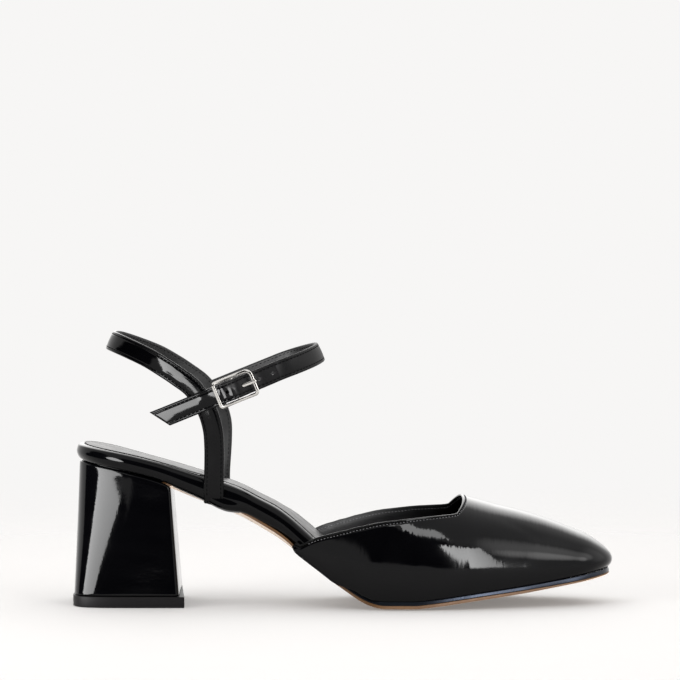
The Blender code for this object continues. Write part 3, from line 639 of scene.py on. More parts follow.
@dataclass(frozen=True)
class PatentLeather:
    """Leather under a cast clear film: black, mirror-like, rippled by the grain below it."""

    name: str
    grain: Grain = Grain.SHOE
    colour: str = "#020203"
    bloom: str = "#040405"
    ior: float = 1.265
    # Colour of the reflections; any colour but white is painted colour of light in them
    painted_reflection_tint: str = "#ffffff"
    roughness: Span = (0.05, 0.1)
    ripple_mm: Point = (1.1, 3.2, 3.2)
    ripple_depth_mm: float = 0.012
    wave_mm: Point = (11.0, 11.0, 11.0)
    wave_depth_mm: float = 0.05
    pleat_mm: Point = (0.6, 14.0, 14.0)
    pleat_tilt: float = 0.0
    pleats_above_mm: Span = (24.5, 27.5)
    pleats_ahead_mm: Span = (20.0, 26.0)
    satin_mm: Span | None = None
    satin_roughness: float = 0.46

    def worn(self, tree: NodeTree, coords: Socket, roughness: Socket) -> Socket:
        """Dull the film along a strap, past the place where it has worn to satin.

        Args:
            tree: Node tree of the material.
            coords: Lengths along and across the strap.
            roughness: Roughness of the sound film.

        Returns:
            Socket with the roughness all along the strap.
        """
        along = add_node(tree, "ShaderNodeSeparateXYZ", {0: coords}).outputs[0]
        start, end = self.satin_mm
        share = add_node(tree, "ShaderNodeMapRange", {0: along, 1: start * MM, 2: end * MM})
        films = {0: share.outputs[0], 2: roughness, 3: self.satin_roughness}
        return add_node(tree, "ShaderNodeMix", films, data_type="FLOAT").outputs[0]

    def pleated(self, tree: NodeTree, coords: Socket, normal: Socket) -> Socket:
        """Tip the normals up and down from pleat to pleat, which gives highlights ragged edges.

        Args:
            tree: Node tree of the material.
            coords: Places on the shoe.
            normal: Normals to tip.

        Returns:
            Socket with the tipped normals.
        """
        stretch = {"Vector": coords, "Scale": per_metre(self.pleat_mm)}
        mapped = add_node(tree, "ShaderNodeMapping", stretch).outputs[0]
        pattern = {"Vector": mapped, "Scale": 1.0, "Detail": 0.5}
        pleats = add_node(tree, "ShaderNodeTexNoise", pattern).outputs[0]
        span = {0: pleats, 1: NOISE_LOW, 2: NOISE_HIGH, 3: -self.pleat_tilt, 4: self.pleat_tilt}
        held = add_node(tree, "ShaderNodeMapRange", span).outputs[0]
        place = add_node(tree, "ShaderNodeSeparateXYZ", {0: coords})
        for axis, (start, end) in ((0, self.pleats_ahead_mm), (2, self.pleats_above_mm)):
            span = {0: place.outputs[axis], 1: start * MM, 2: end * MM}
            share = add_node(tree, "ShaderNodeMapRange", span).outputs[0]
            held = add_node(tree, "ShaderNodeMath", {0: held, 1: share}, operation="MULTIPLY").outputs[0]
        upward = add_node(tree, "ShaderNodeCombineXYZ", {2: held}).outputs[0]
        tipped = add_node(tree, "ShaderNodeVectorMath", {0: normal, 1: upward}, operation="ADD")
        even = add_node(tree, "ShaderNodeVectorMath", {0: tipped.outputs[0]}, operation="NORMALIZE")
        return even.outputs[0]

    def make(self) -> Material:
        """Return the material. The ripple is drawn a little coarser than the real one, to show."""
        made, tree, shader, coords = start_finish(self.name, self.grain)
        stretch = {"Vector": coords, "Scale": per_metre(self.ripple_mm)}
        mapped = add_node(tree, "ShaderNodeMapping", stretch).outputs[0]
        pattern = {"Vector": mapped, "Scale": 1.0, "Detail": 1.5, "Roughness": 0.45}
        ripple = add_node(tree, "ShaderNodeTexNoise", pattern).outputs[0]
        stretch = {"Vector": coords, "Scale": per_metre(self.wave_mm)}
        mapped = add_node(tree, "ShaderNodeMapping", stretch).outputs[0]
        pattern = {"Vector": mapped, "Scale": 1.0, "Detail": 1.0, "Roughness": 0.4}
        wave = add_node(tree, "ShaderNodeTexNoise", pattern).outputs[0]
        tones = {0: wave, 6: linear(self.colour), 7: linear(self.bloom)}
        tone = add_node(tree, "ShaderNodeMix", tones, data_type="RGBA")
        span = {0: wave, 1: NOISE_LOW, 2: NOISE_HIGH, 3: self.roughness[0], 4: self.roughness[1]}
        roughness = add_node(tree, "ShaderNodeMapRange", span).outputs[0]
        if self.satin_mm:
            roughness = self.worn(tree, coords, roughness)
        relief = {"Height": wave, "Distance": self.wave_depth_mm * MM, "Strength": 1.0}
        low = add_node(tree, "ShaderNodeBump", relief).outputs[0]
        relief = {"Height": ripple, "Distance": self.ripple_depth_mm * MM, "Strength": 1.0, "Normal": low}
        normal = add_node(tree, "ShaderNodeBump", relief).outputs[0]
        if self.pleat_tilt:
            normal = self.pleated(tree, coords, normal)
        film = {"Base Color": tone.outputs[2], "Roughness": roughness, "Normal": normal}
        set_inputs(tree, shader, {**film, "IOR": self.ior, "Specular Tint": linear(self.painted_reflection_tint)})
        return made


@dataclass(frozen=True)
class GrainedLeather:
    """Dyed or natural leather with an open grain: satin, with pores and slight clouding."""

    name: str
    colour: str
    cloud: str
    roughness: Span
    pore_mm: float = 0.6
    pore_depth_mm: float = 0.03
    cloud_mm: float = 6.0
    ior: float = 1.45

    def make(self) -> Material:
        """Return the material. Pores are drawn at about one pixel, because real ones don't show."""
        made, tree, shader, coords = start_finish(self.name)
        pattern = {"Vector": coords, "Scale": 1 / (self.pore_mm * MM)}
        pores = add_node(tree, "ShaderNodeTexVoronoi", pattern).outputs[0]
        pattern = {"Vector": coords, "Scale": 1 / (self.cloud_mm * MM), "Detail": 4.0}
        cloud = add_node(tree, "ShaderNodeTexNoise", pattern).outputs[0]
        tones = {0: cloud, 6: linear(self.colour), 7: linear(self.cloud)}
        tone = add_node(tree, "ShaderNodeMix", tones, data_type="RGBA")
        span = {0: cloud, 1: NOISE_LOW, 2: NOISE_HIGH, 3: self.roughness[0], 4: self.roughness[1]}
        gloss = add_node(tree, "ShaderNodeMapRange", span).outputs[0]
        relief = {"Height": pores, "Distance": self.pore_depth_mm * MM, "Strength": 1.0}
        normal = add_node(tree, "ShaderNodeBump", relief).outputs[0]
        surface = {"Base Color": tone.outputs[2], "Roughness": gloss, "Normal": normal, "IOR": self.ior}
        set_inputs(tree, shader, surface)
        return made


@dataclass(frozen=True)
class MouldedRubber:
    """Moulded black rubber: dull, faintly dusty, with a fine sandy skin."""

    name: str = "moulded_rubber"
    colour: str = "#080708"
    dust: str = "#100f10"
    roughness: float = 0.5
    ior: float = 1.24
    grit_mm: float = 0.5
    grit_depth_mm: float = 0.03

    def make(self) -> Material:
        """Return the material, with grit drawn about a pixel wide so that it shows."""
        made, tree, shader, coords = start_finish(self.name)
        pattern = {"Vector": coords, "Scale": 1 / (self.grit_mm * MM), "Detail": 3.0}
        grit = add_node(tree, "ShaderNodeTexNoise", pattern).outputs[0]
        tones = {0: grit, 6: linear(self.colour), 7: linear(self.dust)}
        tone = add_node(tree, "ShaderNodeMix", tones, data_type="RGBA")
        relief = {"Height": grit, "Distance": self.grit_depth_mm * MM, "Strength": 1.0}
        normal = add_node(tree, "ShaderNodeBump", relief).outputs[0]
        skin = {"Base Color": tone.outputs[2], "Normal": normal}
        set_inputs(tree, shader, {**skin, "Roughness": self.roughness, "IOR": self.ior})
        return made


@dataclass(frozen=True)
class PolishedNickel:
    """Steel wire under polished nickel: bright, with faint rub marks."""

    name: str = "polished_nickel"
    colour: str = "#d6d4d0"
    roughness: Span = (0.1, 0.16)
    mark_mm: float = 3.0

    def make(self) -> Material:
        """Return the material."""
        made, tree, shader, coords = start_finish(self.name)
        pattern = {"Vector": coords, "Scale": 1 / (self.mark_mm * MM), "Detail": 3.0}
        marks = add_node(tree, "ShaderNodeTexNoise", pattern).outputs[0]
        span = {0: marks, 1: NOISE_LOW, 2: NOISE_HIGH, 3: self.roughness[0], 4: self.roughness[1]}
        gloss = add_node(tree, "ShaderNodeMapRange", span).outputs[0]
        set_inputs(tree, shader, {"Base Color": linear(self.colour), "Metallic": 1.0, "Roughness": gloss})
        return made


@dataclass(frozen=True)
class SewingThread:
    """Bonded polyester thread, whose light grey copy carries painted highlights, or painted shade in the
    groove that it presses into the leather: dull, with a visible twist.
    """

    name: str = "sewing_thread"
    colour: str = "#161617"
    roughness: float = 0.7
    ior: float = 1.06
    twist_mm: float = 0.35
    twist_depth_mm: float = 0.05

    def make(self) -> Material:
        """Return the material."""
        made, tree, shader, coords = start_finish(self.name)
        scale = 1 / (self.twist_mm * MM) / (2 * math.pi)
        pattern = {"Vector": coords, "Scale": scale, "Distortion": 1.0}
        twist = add_node(tree, "ShaderNodeTexWave", pattern, bands_direction="DIAGONAL").outputs[1]
        relief = {"Height": twist, "Distance": self.twist_depth_mm * MM, "Strength": 1.0}
        normal = add_node(tree, "ShaderNodeBump", relief).outputs[0]
        strand = {"Base Color": linear(self.colour), "Normal": normal}
        set_inputs(tree, shader, {**strand, "Roughness": self.roughness, "IOR": self.ior})
        return made


class Finishes:
    """All materials of the shoe, made once."""

    def __init__(self) -> None:
        """Make the materials."""
        self.upper = PatentLeather("patent_leather_upper", pleat_tilt=0.019).make()
        strap = {"grain": Grain.STRAP, "wave_mm": (7.0, 7.0, 7.0)}
        self.strap = PatentLeather(
            "patent_leather_strap", ripple_mm=(6.0, 0.8, 1.0), ripple_depth_mm=0.018, **strap
        ).make()
        self.ankle_strap = PatentLeather(
            "patent_leather_ankle_strap", ripple_mm=(5.0, 0.8, 1.0), satin_mm=(36.0, 39.0), **strap
        ).make()
        self.heel = PatentLeather(
            "patent_leather_heel", ripple_mm=(1.1, 1.1, 1.3), wave_mm=(22.0, 22.0, 8.0), wave_depth_mm=0.06
        ).make()
        # Its bluish specular tint is painted colour in the edge's reflections, standing in for a bluish
        # light
        self.edge = PatentLeather(
            "painted_leather_edge",
            colour="#0a0b0d",
            bloom="#121418",
            ior=1.38,
            painted_reflection_tint="#c4d2f0",
            roughness=(0.2, 0.3),
        ).make()
        self.lining = GrainedLeather("lining_leather", "#0d0d0e", "#161617", (0.4, 0.55)).make()
        self.sock = GrainedLeather("sock_leather", "#121213", "#1a1a1b", (0.27, 0.37), ior=1.14).make()
        # Darker and duller than the sock: painted shade along the sock's edge
        self.sock_border_shade = GrainedLeather(
            "sock_edge_leather", "#060606", "#0a0a0a", (0.6, 0.7), ior=1.15
        ).make()
        # One tan leather in two tones: the edge's brown and the underside's pale tan are partly the
        # leather's own, partly painted shade on the edge and painted light from the floor's bounce on the
        # underside
        self.sole = GrainedLeather(
            "sole_leather", "#5c3f20", "#4a3018", (0.45, 0.6), pore_mm=0.5, cloud_mm=4.0
        ).make()
        self.sole_bottom_pale_and_painted_light = GrainedLeather(
            "sole_leather_underside", "#f0dfd0", "#e8d3c0", (0.5, 0.65), pore_mm=0.5, cloud_mm=9.0
        ).make()
        self.rubber = MouldedRubber().make()
        self.thread = SewingThread().make()
        # Light grey thread on the vamp: painted highlights for the glints between the stitches
        self.waxed_thread = SewingThread("waxed_thread", "#8a8a8e").make()
        # Near-black and dull: painted shade in the stitched groove below the vamp's topline
        self.seam = SewingThread("pressed_seam", "#050505").make()
        self.nickel = PolishedNickel().make()


def keep_shape(name: str, shape: bmesh.types.BMesh, finishes: Materials) -> Piece:
    """Turn a finished bmesh into an object in the scene, at the origin.

    Args:
        name: Name of the object.
        shape: The bmesh, which is freed.
        finishes: Materials of the piece.

    Returns:
        The object.
    """
    mesh = bpy.data.meshes.new(name)
    shape.to_mesh(mesh)
    shape.free()
    for finish in finishes:
        mesh.materials.append(finish)
    made = bpy.data.objects.new(name, mesh)
    bpy.context.scene.collection.objects.link(made)
    return made


def loft(
    name: str,
    points: Array,
    finishes: Materials,
    wrap: bool = False,
    column_finish: Sequence[int] | None = None,
    row_finish: Sequence[int] | None = None,
) -> Piece:
    """Lay a flat grid over rows of points, close it and shade it smooth.

    The UV map holds lengths in metres: along the rows' direction first, then around.

    Args:
        name: Name of the object.
        points: Array of rows, columns and coordinates, in millimetres.
        finishes: Materials of the piece.
        wrap: Whether each row is a closed loop.
        column_finish: Material number of each column of faces.
        row_finish: Material number of each row of faces.

    Returns:
        The object.
    """
    if wrap:
        points = np.concatenate([points, points[:, :1]], axis=1)
    rows, columns = points.shape[:2]
    lengthwise = np.zeros((rows, columns))
    lengthwise[1:] = np.cumsum(np.linalg.norm(np.diff(points, axis=0), axis=2), axis=0)
    around = np.zeros((rows, columns))
    around[:, 1:] = np.cumsum(np.linalg.norm(np.diff(points, axis=1), axis=2), axis=1)
    shape = bmesh.new()
    bmesh.ops.create_grid(shape, x_segments=columns - 1, y_segments=rows - 1, size=0.5)
    lengths = shape.loops.layers.uv.new("lengths")
    places = {}
    for vert in shape.verts:
        column = round((vert.co.x + 0.5) * (columns - 1))
        row = round((vert.co.y + 0.5) * (rows - 1))
        places[vert] = (row, column)
    for face in shape.faces:
        face.smooth = True
        if column_finish is not None:
            face.material_index = column_finish[min(places[vert][1] for vert in face.verts)]
        if row_finish is not None:
            face.material_index = row_finish[min(places[vert][0] for vert in face.verts)]
        for corner in face.loops:
            place = places[corner.vert]
            corner[lengths].uv = (lengthwise[place] * MM, around[place] * MM)
    for vert, place in places.items():
        vert.co = points[place] * MM
    bmesh.ops.remove_doubles(shape, verts=shape.verts, dist=MERGE)
    bmesh.ops.recalc_face_normals(shape, faces=shape.faces)
    return keep_shape(name, shape, finishes)


def wire(
    name: str,
    path: Array,
    radii: Array,
    finish: Material,
    closed: bool = False,
    facing: Sequence[float] = (0.3, 0.2, 1.0),
    flatness: float = 1.0,
    squareness: float = 2.0,
) -> Piece:
    """Make a wire along a path, round or flattened.

    Args:
        name: Name of the object.
        path: Points in millimetres.
        radii: Radius at each point, 0 where an open end closes.
        finish: Material.
        closed: Whether the path is a loop.
        facing: Direction that a flattened wire faces.
        flatness: Thickness of the wire as a share of its width.
        squareness: Shape of the section, round at 2 and squarer above.

    Returns:
        The object.
    """
    if closed:
        along = unit(np.roll(path, -1, axis=0) - np.roll(path, 1, axis=0))
    else:
        along = unit(np.gradient(path, axis=0))
    across = np.zeros_like(path)
    start = np.cross(along[0], facing)
    for i, direction in enumerate(along):
        start = start - direction * np.dot(start, direction)
        start = start / np.linalg.norm(start)
        across[i] = start
    other = np.cross(along, across)
    angles = np.linspace(0.0, 2 * math.pi, WIRE_SIDES, endpoint=False)
    power = 2 / squareness
    wide = np.sign(np.cos(angles)) * np.abs(np.cos(angles)) ** power
    thick = flatness * np.sign(np.sin(angles)) * np.abs(np.sin(angles)) ** power
    rounds = wide[None, :, None] * across[:, None] + thick[None, :, None] * other[:, None]
    points = path[:, None] + rounds * radii[:, None, None]
    if closed:
        points = np.concatenate([points, points[:1]], axis=0)
    return loft(name, points, [finish], wrap=True)


@dataclass
class StitchRow:
    """Rows of sewn stitches, each a small bead of thread lying along its row."""

    pitch: float = 1.9
    length: float = 1.5
    width: float = 0.42
    height: float = 0.36
    group: int = 24
    places: list[Matrix] = field(default_factory=list)

    def add(self, path: Array, out: Array) -> None:
        """Sew along a path.

        Args:
            path: Points in millimetres, on the leather.
            out: Direction out of the leather at each point.
        """
        lengths = lengths_along(path)
        count = max(1, int(lengths[-1] / self.pitch))
        places = (np.arange(count) + 0.5) * lengths[-1] / count
        along = unit(np.gradient(path, axis=0))
        lines = [values_at(places, lengths, values) for values in (path, along, out)]
        for spot, *directions in zip(*lines):
            forward, up = (Vector(way).normalized() for way in directions)
            side = up.cross(forward).normalized()
            basis = Matrix.Identity(4)
            basis.col[0].xyz = side * self.width * MM
            basis.col[1].xyz = up * self.height * MM
            basis.col[2].xyz = forward * self.length * MM
            basis.col[3].xyz = Vector(spot) * MM
            self.places.append(basis)

    def finish(self, name: str, thread: Material) -> Piece:
        """Return the sewn rows as one object, made in groups because a small bmesh is quicker."""
        whole = bmesh.new()
        for first in range(0, len(self.places), self.group):
            few = bmesh.new()
            for basis in self.places[first : first + self.group]:
                bmesh.ops.create_uvsphere(few, u_segments=8, v_segments=5, radius=0.5, matrix=basis)
            for face in few.faces:
                face.smooth = True
            bmesh.ops.recalc_face_normals(few, faces=few.faces)
            held = bpy.data.meshes.new(name)
            few.to_mesh(held)
            few.free()
            whole.from_mesh(held)
            bpy.data.meshes.remove(held)
        return keep_shape(name, whole, [thread])


def place_piece(made: Piece, slot: str, *nodes: str) -> Piece:
    """Let a piece ride on the shoe and stand for its solids.

    Args:
        made: The piece.
        slot: Name of a material slot; not used.
        nodes: Solids that it replaces.

    Returns:
        The piece.
    """
    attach(made, BODY)
    if nodes:
        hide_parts(*nodes)
    LOG.info("%s: %d faces", made.name, len(made.data.polygons))
    return made


def carve(made: Piece, cutters: Sequence[Piece]) -> None:
    """Cut other shapes out of a piece and remove them.

    Args:
        made: The piece.
        cutters: Closed shapes to cut out.
    """
    for cutter in cutters:
        change = made.modifiers.new(cutter.name, "BOOLEAN")
        change.object = cutter
        change.operation = "DIFFERENCE"
        change.solver = "EXACT"
    bpy.context.view_layer.update()
    graph = bpy.context.evaluated_depsgraph_get()
    cut = bpy.data.meshes.new_from_object(made.evaluated_get(graph))
    made.modifiers.clear()
    made.data = cut
    for cutter in cutters:
        bpy.data.objects.remove(cutter)


@dataclass
class Heel:
    """Wrapped block heel and its rubber lift."""

    last: Last
    finishes: Finishes
    breast_foot: float = -72.4
    middle: float = 2.5
    lift_proud: float = 0.5
    lift_proud_breast: float = 1.2
    lift_corner: float = 0.5
    lift_turn: float = 1.2
    edge_round: float = 0.45
    top_round: float = 1.3
    foot: HeelEnd = HeelEnd(back=-119.3, half_width=26.9, squareness=6.0, corner=2.2)
    top: HeelEnd = HeelEnd(back=-117.2, half_width=23.8, squareness=2.3, corner=1.6)
    rounding_rise: float = 2.4
    back_turns: int = 48
    corner_turns: int = 9
    levels: int = 44

    def ring(self, share: float, grow: float, height: Along, lift: bool = False) -> Array:
        """Return the heel's outline at a share of its height.

        Args:
            share: Place between the foot (0) and the top (1).
            grow: How far the outline is moved out.
            height: Height of the ring along the shoe.
            lift: Whether this is the lift, with sharper corners and a breast that is turned a little.

        Returns:
            Closed ring that starts at the middle of the back.
        """
        end = HeelEnd(*(low + (high - low) * share for low, high in zip(self.foot, self.top)))
        breast = self.breast_foot + (self.last.breast_top - self.breast_foot) * share + grow
        turn = 0.0
        if lift:
            end = end._replace(corner=self.lift_corner)
            breast += self.lift_proud_breast
            turn = self.lift_turn
            grow += self.lift_proud
        back, half_width = end.back - grow, end.half_width + grow
        squareness = self.top.squareness
        squareness += (self.foot.squareness - self.top.squareness) * (1 - share) ** self.rounding_rise
        power = 2 / squareness
        side = []
        for sine, cosine in quarter_turn(self.back_turns)[1:-1]:
            x = breast - (breast - back) * cosine**power
            side.append((min(x, breast - end.corner), half_width * sine**power))
        for sine, cosine in quarter_turn(self.corner_turns):
            x = breast - end.corner * (1 - sine)
            side.append((x, half_width - end.corner * (1 - cosine)))
        plan = [(back, 0.0)] + [(x, -y) for x, y in side]
        plan += [(breast, 0.0)] + side[::-1]
        plan = [(x - turn * y / half_width * (x - back) / (breast - back), y) for x, y in plan]
        return np.array([(x, self.middle + y, height(x)) for x, y in plan])

    def build_block(self) -> None:
        """Make the wrapped block, its edges eased and its top following the heel seat."""
        low = self.last.top_lift + self.last.gap
        foot_round, top_round = self.edge_round, self.top_round

        def level(share: float, lift: float) -> Along:
            """Return the height along the shoe at a share of the heel's own, lifted a little."""
            top = self.last.footbed_under
            return lambda x: low + (top(x) - self.last.gap - low) * share + lift

        rows = []
        for sine, cosine in quarter_turn(EDGE_STEPS):
            rows.append(self.ring(0.0, foot_round * (sine - 1), level(0.0, foot_round * (1 - cosine))))
        for i in range(1, self.levels - 1):
            share = i / self.levels
            rows.append(self.ring(share, 0.0, level(share, 0.0)))
        for sine, cosine in quarter_turn(EDGE_STEPS):
            rows.append(self.ring(1.0, top_round * (cosine - 1), level(1.0, top_round * (sine - 1))))
        rows = [folded_in(rows[0]), *rows, folded_in(rows[-1])]
        made = loft("heel_wrap", np.array(rows), [self.finishes.heel], wrap=True)
        place_piece(made, "heel_patent", "heel_block")

    def build_lift(self) -> None:
        """Make the rubber lift, a little proud of the heel's foot."""
        height = self.last.top_lift
        ease_by = self.edge_round
        turn = quarter_turn(EDGE_STEPS)
        rows = [(ease_by * (sine - 1), ease_by * (1 - cosine)) for sine, cosine in turn]
        rows += [(ease_by * (cosine - 1), height - ease_by * (1 - sine)) for sine, cosine in turn]
        rings = [self.ring(0.0, grow, lambda x, z=z: z, lift=True) for grow, z in rows]
        rings = [folded_in(rings[0]), *rings, folded_in(rings[-1])]
        made = loft("heel_lift", np.array(rings), [self.finishes.rubber], wrap=True)
        place_piece(made, "lift_rubber", "top_lift")

    def build(self) -> None:
        """Build the heel's pieces."""
        self.build_lift()
        self.build_block()


@dataclass
class Sole:
    """Tan outsole and the black midsole above it."""

    last: Last
    finishes: Finishes
    edge_round: float = 0.3
    outsole_rear: float = -81.2
    midsole_draft: float = 0.34
    edge_rise_power: float = 1.6
    edge_rise_shares: tuple[float, ...] = (0.0, 0.35, 0.7, 0.92)

    def layer(
        self,
        name: str,
        stations: Sequence[float],
        under: Along,
        rise: Along,
        thickness: Along,
        draft: float,
        finishes: Materials,
    ) -> Piece:
        """Make one layer of the sole, level in the middle and rising to its rounded edge.

        Args:
            name: Name of the object.
            stations: Places along the shoe.
            under: Height of its lower face.
            rise: How far its edge stands above its middle.
            thickness: Thickness of the layer.
            draft: How far its edge leans inwards towards the top.
            finishes: Materials of the edge and of the underside.

        Returns:
            The object.
        """
        last, round_by = self.last, self.edge_round
        turn = quarter_turn(EDGE_STEPS)
        corner = [(round_by * (1 - sine), round_by * (1 - cosine)) for sine, cosine in turn]
        profile = [(inset, 0, lift) for inset, lift in corner]
        profile += [(draft + inset, 1, -lift) for inset, lift in corner[::-1]]

        def between(share: float) -> Array:
            """Return a ring of the underside between its level middle (0) and its edge (1)."""
            return last.ring(
                stations,
                lambda x: last.level_inset(x) + (last.sole_inset(x) - last.level_inset(x)) * share,
                lambda x: under(x) + rise(x) * share**self.edge_rise_power,
            )

        rings = [between(share) for share in self.edge_rise_shares]
        belly = len(rings)
        for inset, top, lift in profile:
            ring = last.ring(
                stations,
                lambda x, inset=inset: last.sole_inset(x) + inset,
                lambda x, top=top, lift=lift: under(x) + rise(x) + top * thickness(x) + lift,
            )
            rings.append(ring)
        rings.append(last.ring(stations, last.level_inset, lambda x: under(x) + thickness(x)))
        rings = [folded_in(rings[0]), *rings, folded_in(rings[-1])]
        slots = [1] * (belly + 1) + [0] * (len(rings) - belly - 2)
        return loft(name, np.array(rings), finishes, wrap=True, row_finish=slots)

    def build(self) -> None:
        """Build both layers, each up to a fine seam below the next. The outsole thins at the toe."""
        last, finishes = self.last, self.finishes
        spare = last.gap - last.seam
        outsole = self.layer(
            "tan_outsole",
            last.stations(self.outsole_rear),
            lambda x: last.tread(x) + last.feather(x) / 2,
            lambda x: last.edge_rise(x) + last.camber * last.waist_share(x),
            lambda x: last.outsole + spare - last.feather(x),
            0.0,
            # Brown edge, partly painted shade; pale underside, partly painted light
            [finishes.sole, finishes.sole_bottom_pale_and_painted_light],
        )
        place_piece(outsole, "sole_leather", "outsole")
        midsole = self.layer(
            "black_midsole",
            last.stations(last.midsole_rear),
            lambda x: last.midsole_under(x) - last.feather(x) / 2,
            last.edge_rise,
            lambda x: last.midsole + spare + last.feather(x) / 2,
            self.midsole_draft,
            [finishes.edge, finishes.edge],
        )
        place_piece(midsole, "midsole_leather", "midsole")


@dataclass
class Footbed:
    """Padded footbed with its wrapped rim, and the sock that lies in it."""

    last: Last
    finishes: Finishes
    rim_round: float = 0.42
    recess_slope: float = 0.2
    insole_front: float = 96.0
    sock_round: float = 0.5
    sock_rise: float = 0.4
    rim_steps: int = 6
    tuck_band: Span = (0.2, 0.45)
    arch_band: Span = (0.5, 0.9)

    def rim_profile(self) -> Array:
        """Return the rim's section from its lower edge up, as insets and heights in shares of the rim."""
        inset = self.rim_round
        shares = [(inset, 0.0), (0.14, 0.12), (0.0, 0.42), (0.04, 0.7), (0.16, 0.9), (inset, 1.0)]
        return spline(np.array(shares), self.rim_steps)

    def recess_inset(self, x: float) -> float:
        """Return how far the recess for the sock lies inside the last's widest line."""
        return self.last.footbed_inset(x) + self.rim_round * self.last.rim(x) + self.recess_slope

    def build_rim(self) -> None:
        """Make the wrapped footbed: rounded rim, then the recess for the sock."""
        last = self.last
        stations = last.stations(last.heel_round_tip)
        rings = []

        def wrap_height(x: float, height: float) -> float:
            """Return the height of the wrap at a share of the rim's own."""
            low = last.wrap_start(x)
            return last.footbed_under(x) + (low + (1 - low) * height) * last.rim(x)

        for inset, height in self.rim_profile():
            low = 1 - ease(height, *self.tuck_band)
            ring = last.ring(
                stations,
                lambda x, inset=inset, low=low: last.footbed_inset(x)
                + inset * last.rim(x)
                - low * last.tuck_out * last.tuck_share(x),
                lambda x, height=height: wrap_height(x, height),
            )
            upper = ease(height, *self.arch_band)
            rings.append(ring + upper * (last.arch(ring, last.medial_lip) - ring))
        recess = last.ring(
            stations, self.recess_inset, lambda x: last.footbed_top(x) - last.insole - last.gap
        )
        recess = last.arch(recess)
        rings = [folded_in(rings[0]), *rings, recess, folded_in(recess)]
        made = loft("footbed_rim", np.array(rings), [self.finishes.upper], wrap=True)
        place_piece(made, "footbed_patent", "footbed")

    def build_sock(self) -> None:
        """Make the sock, its edge eased down into the recess."""
        last = self.last
        stations = last.stations(last.heel_round_tip, self.insole_front)
        round_by = self.sock_round
        profile = [(0.0, -last.insole)]
        turn = quarter_turn(EDGE_STEPS)
        profile += [(round_by * (1 - cosine), round_by * (sine - 1)) for sine, cosine in turn]
        rings = []
        for more, lift in profile:
            ring = last.ring(
                stations,
                lambda x, more=more: self.recess_inset(x) + last.gap + more,
                lambda x, lift=lift: last.footbed_top(x) + self.sock_rise + lift,
            )
            rings.append(last.arch(ring))
        rings = [folded_in(rings[0]), *rings, folded_in(rings[-1])]
        # All rows but the top face take the edge finish: painted shade along the sock's edge
        slots = [1] * (len(rings) - 2) + [0]
        finishes = [self.finishes.sock, self.finishes.sock_border_shade]
        made = loft("sock", np.array(rings), finishes, wrap=True, row_finish=slots)
        place_piece(made, "sock_lining", "insole")

    def build(self) -> None:
        """Build the rim and the sock."""
        self.build_rim()
        self.build_sock()


class Crease(NamedTuple):
    """Soft trough in the vamp with ridges beside it, or a ridge where the depth is negative."""

    centre: Point
    along: Point
    half_length: float
    half_width: float
    depth: float
    ridges: float = 0.6

    def at(self, points: Array) -> Array:
        """Return how deep the crease is at each point."""
        away = points - np.array(self.centre)
        direction = unit(np.array(self.along))
        run = away @ direction
        aside = np.linalg.norm(away - run[..., None] * direction, axis=-1) / self.half_width
        trough = self.depth * np.exp(-((run / self.half_length) ** 2)) * np.exp(-(aside**2))
        return trough * (1 - self.ridges * aside**2)


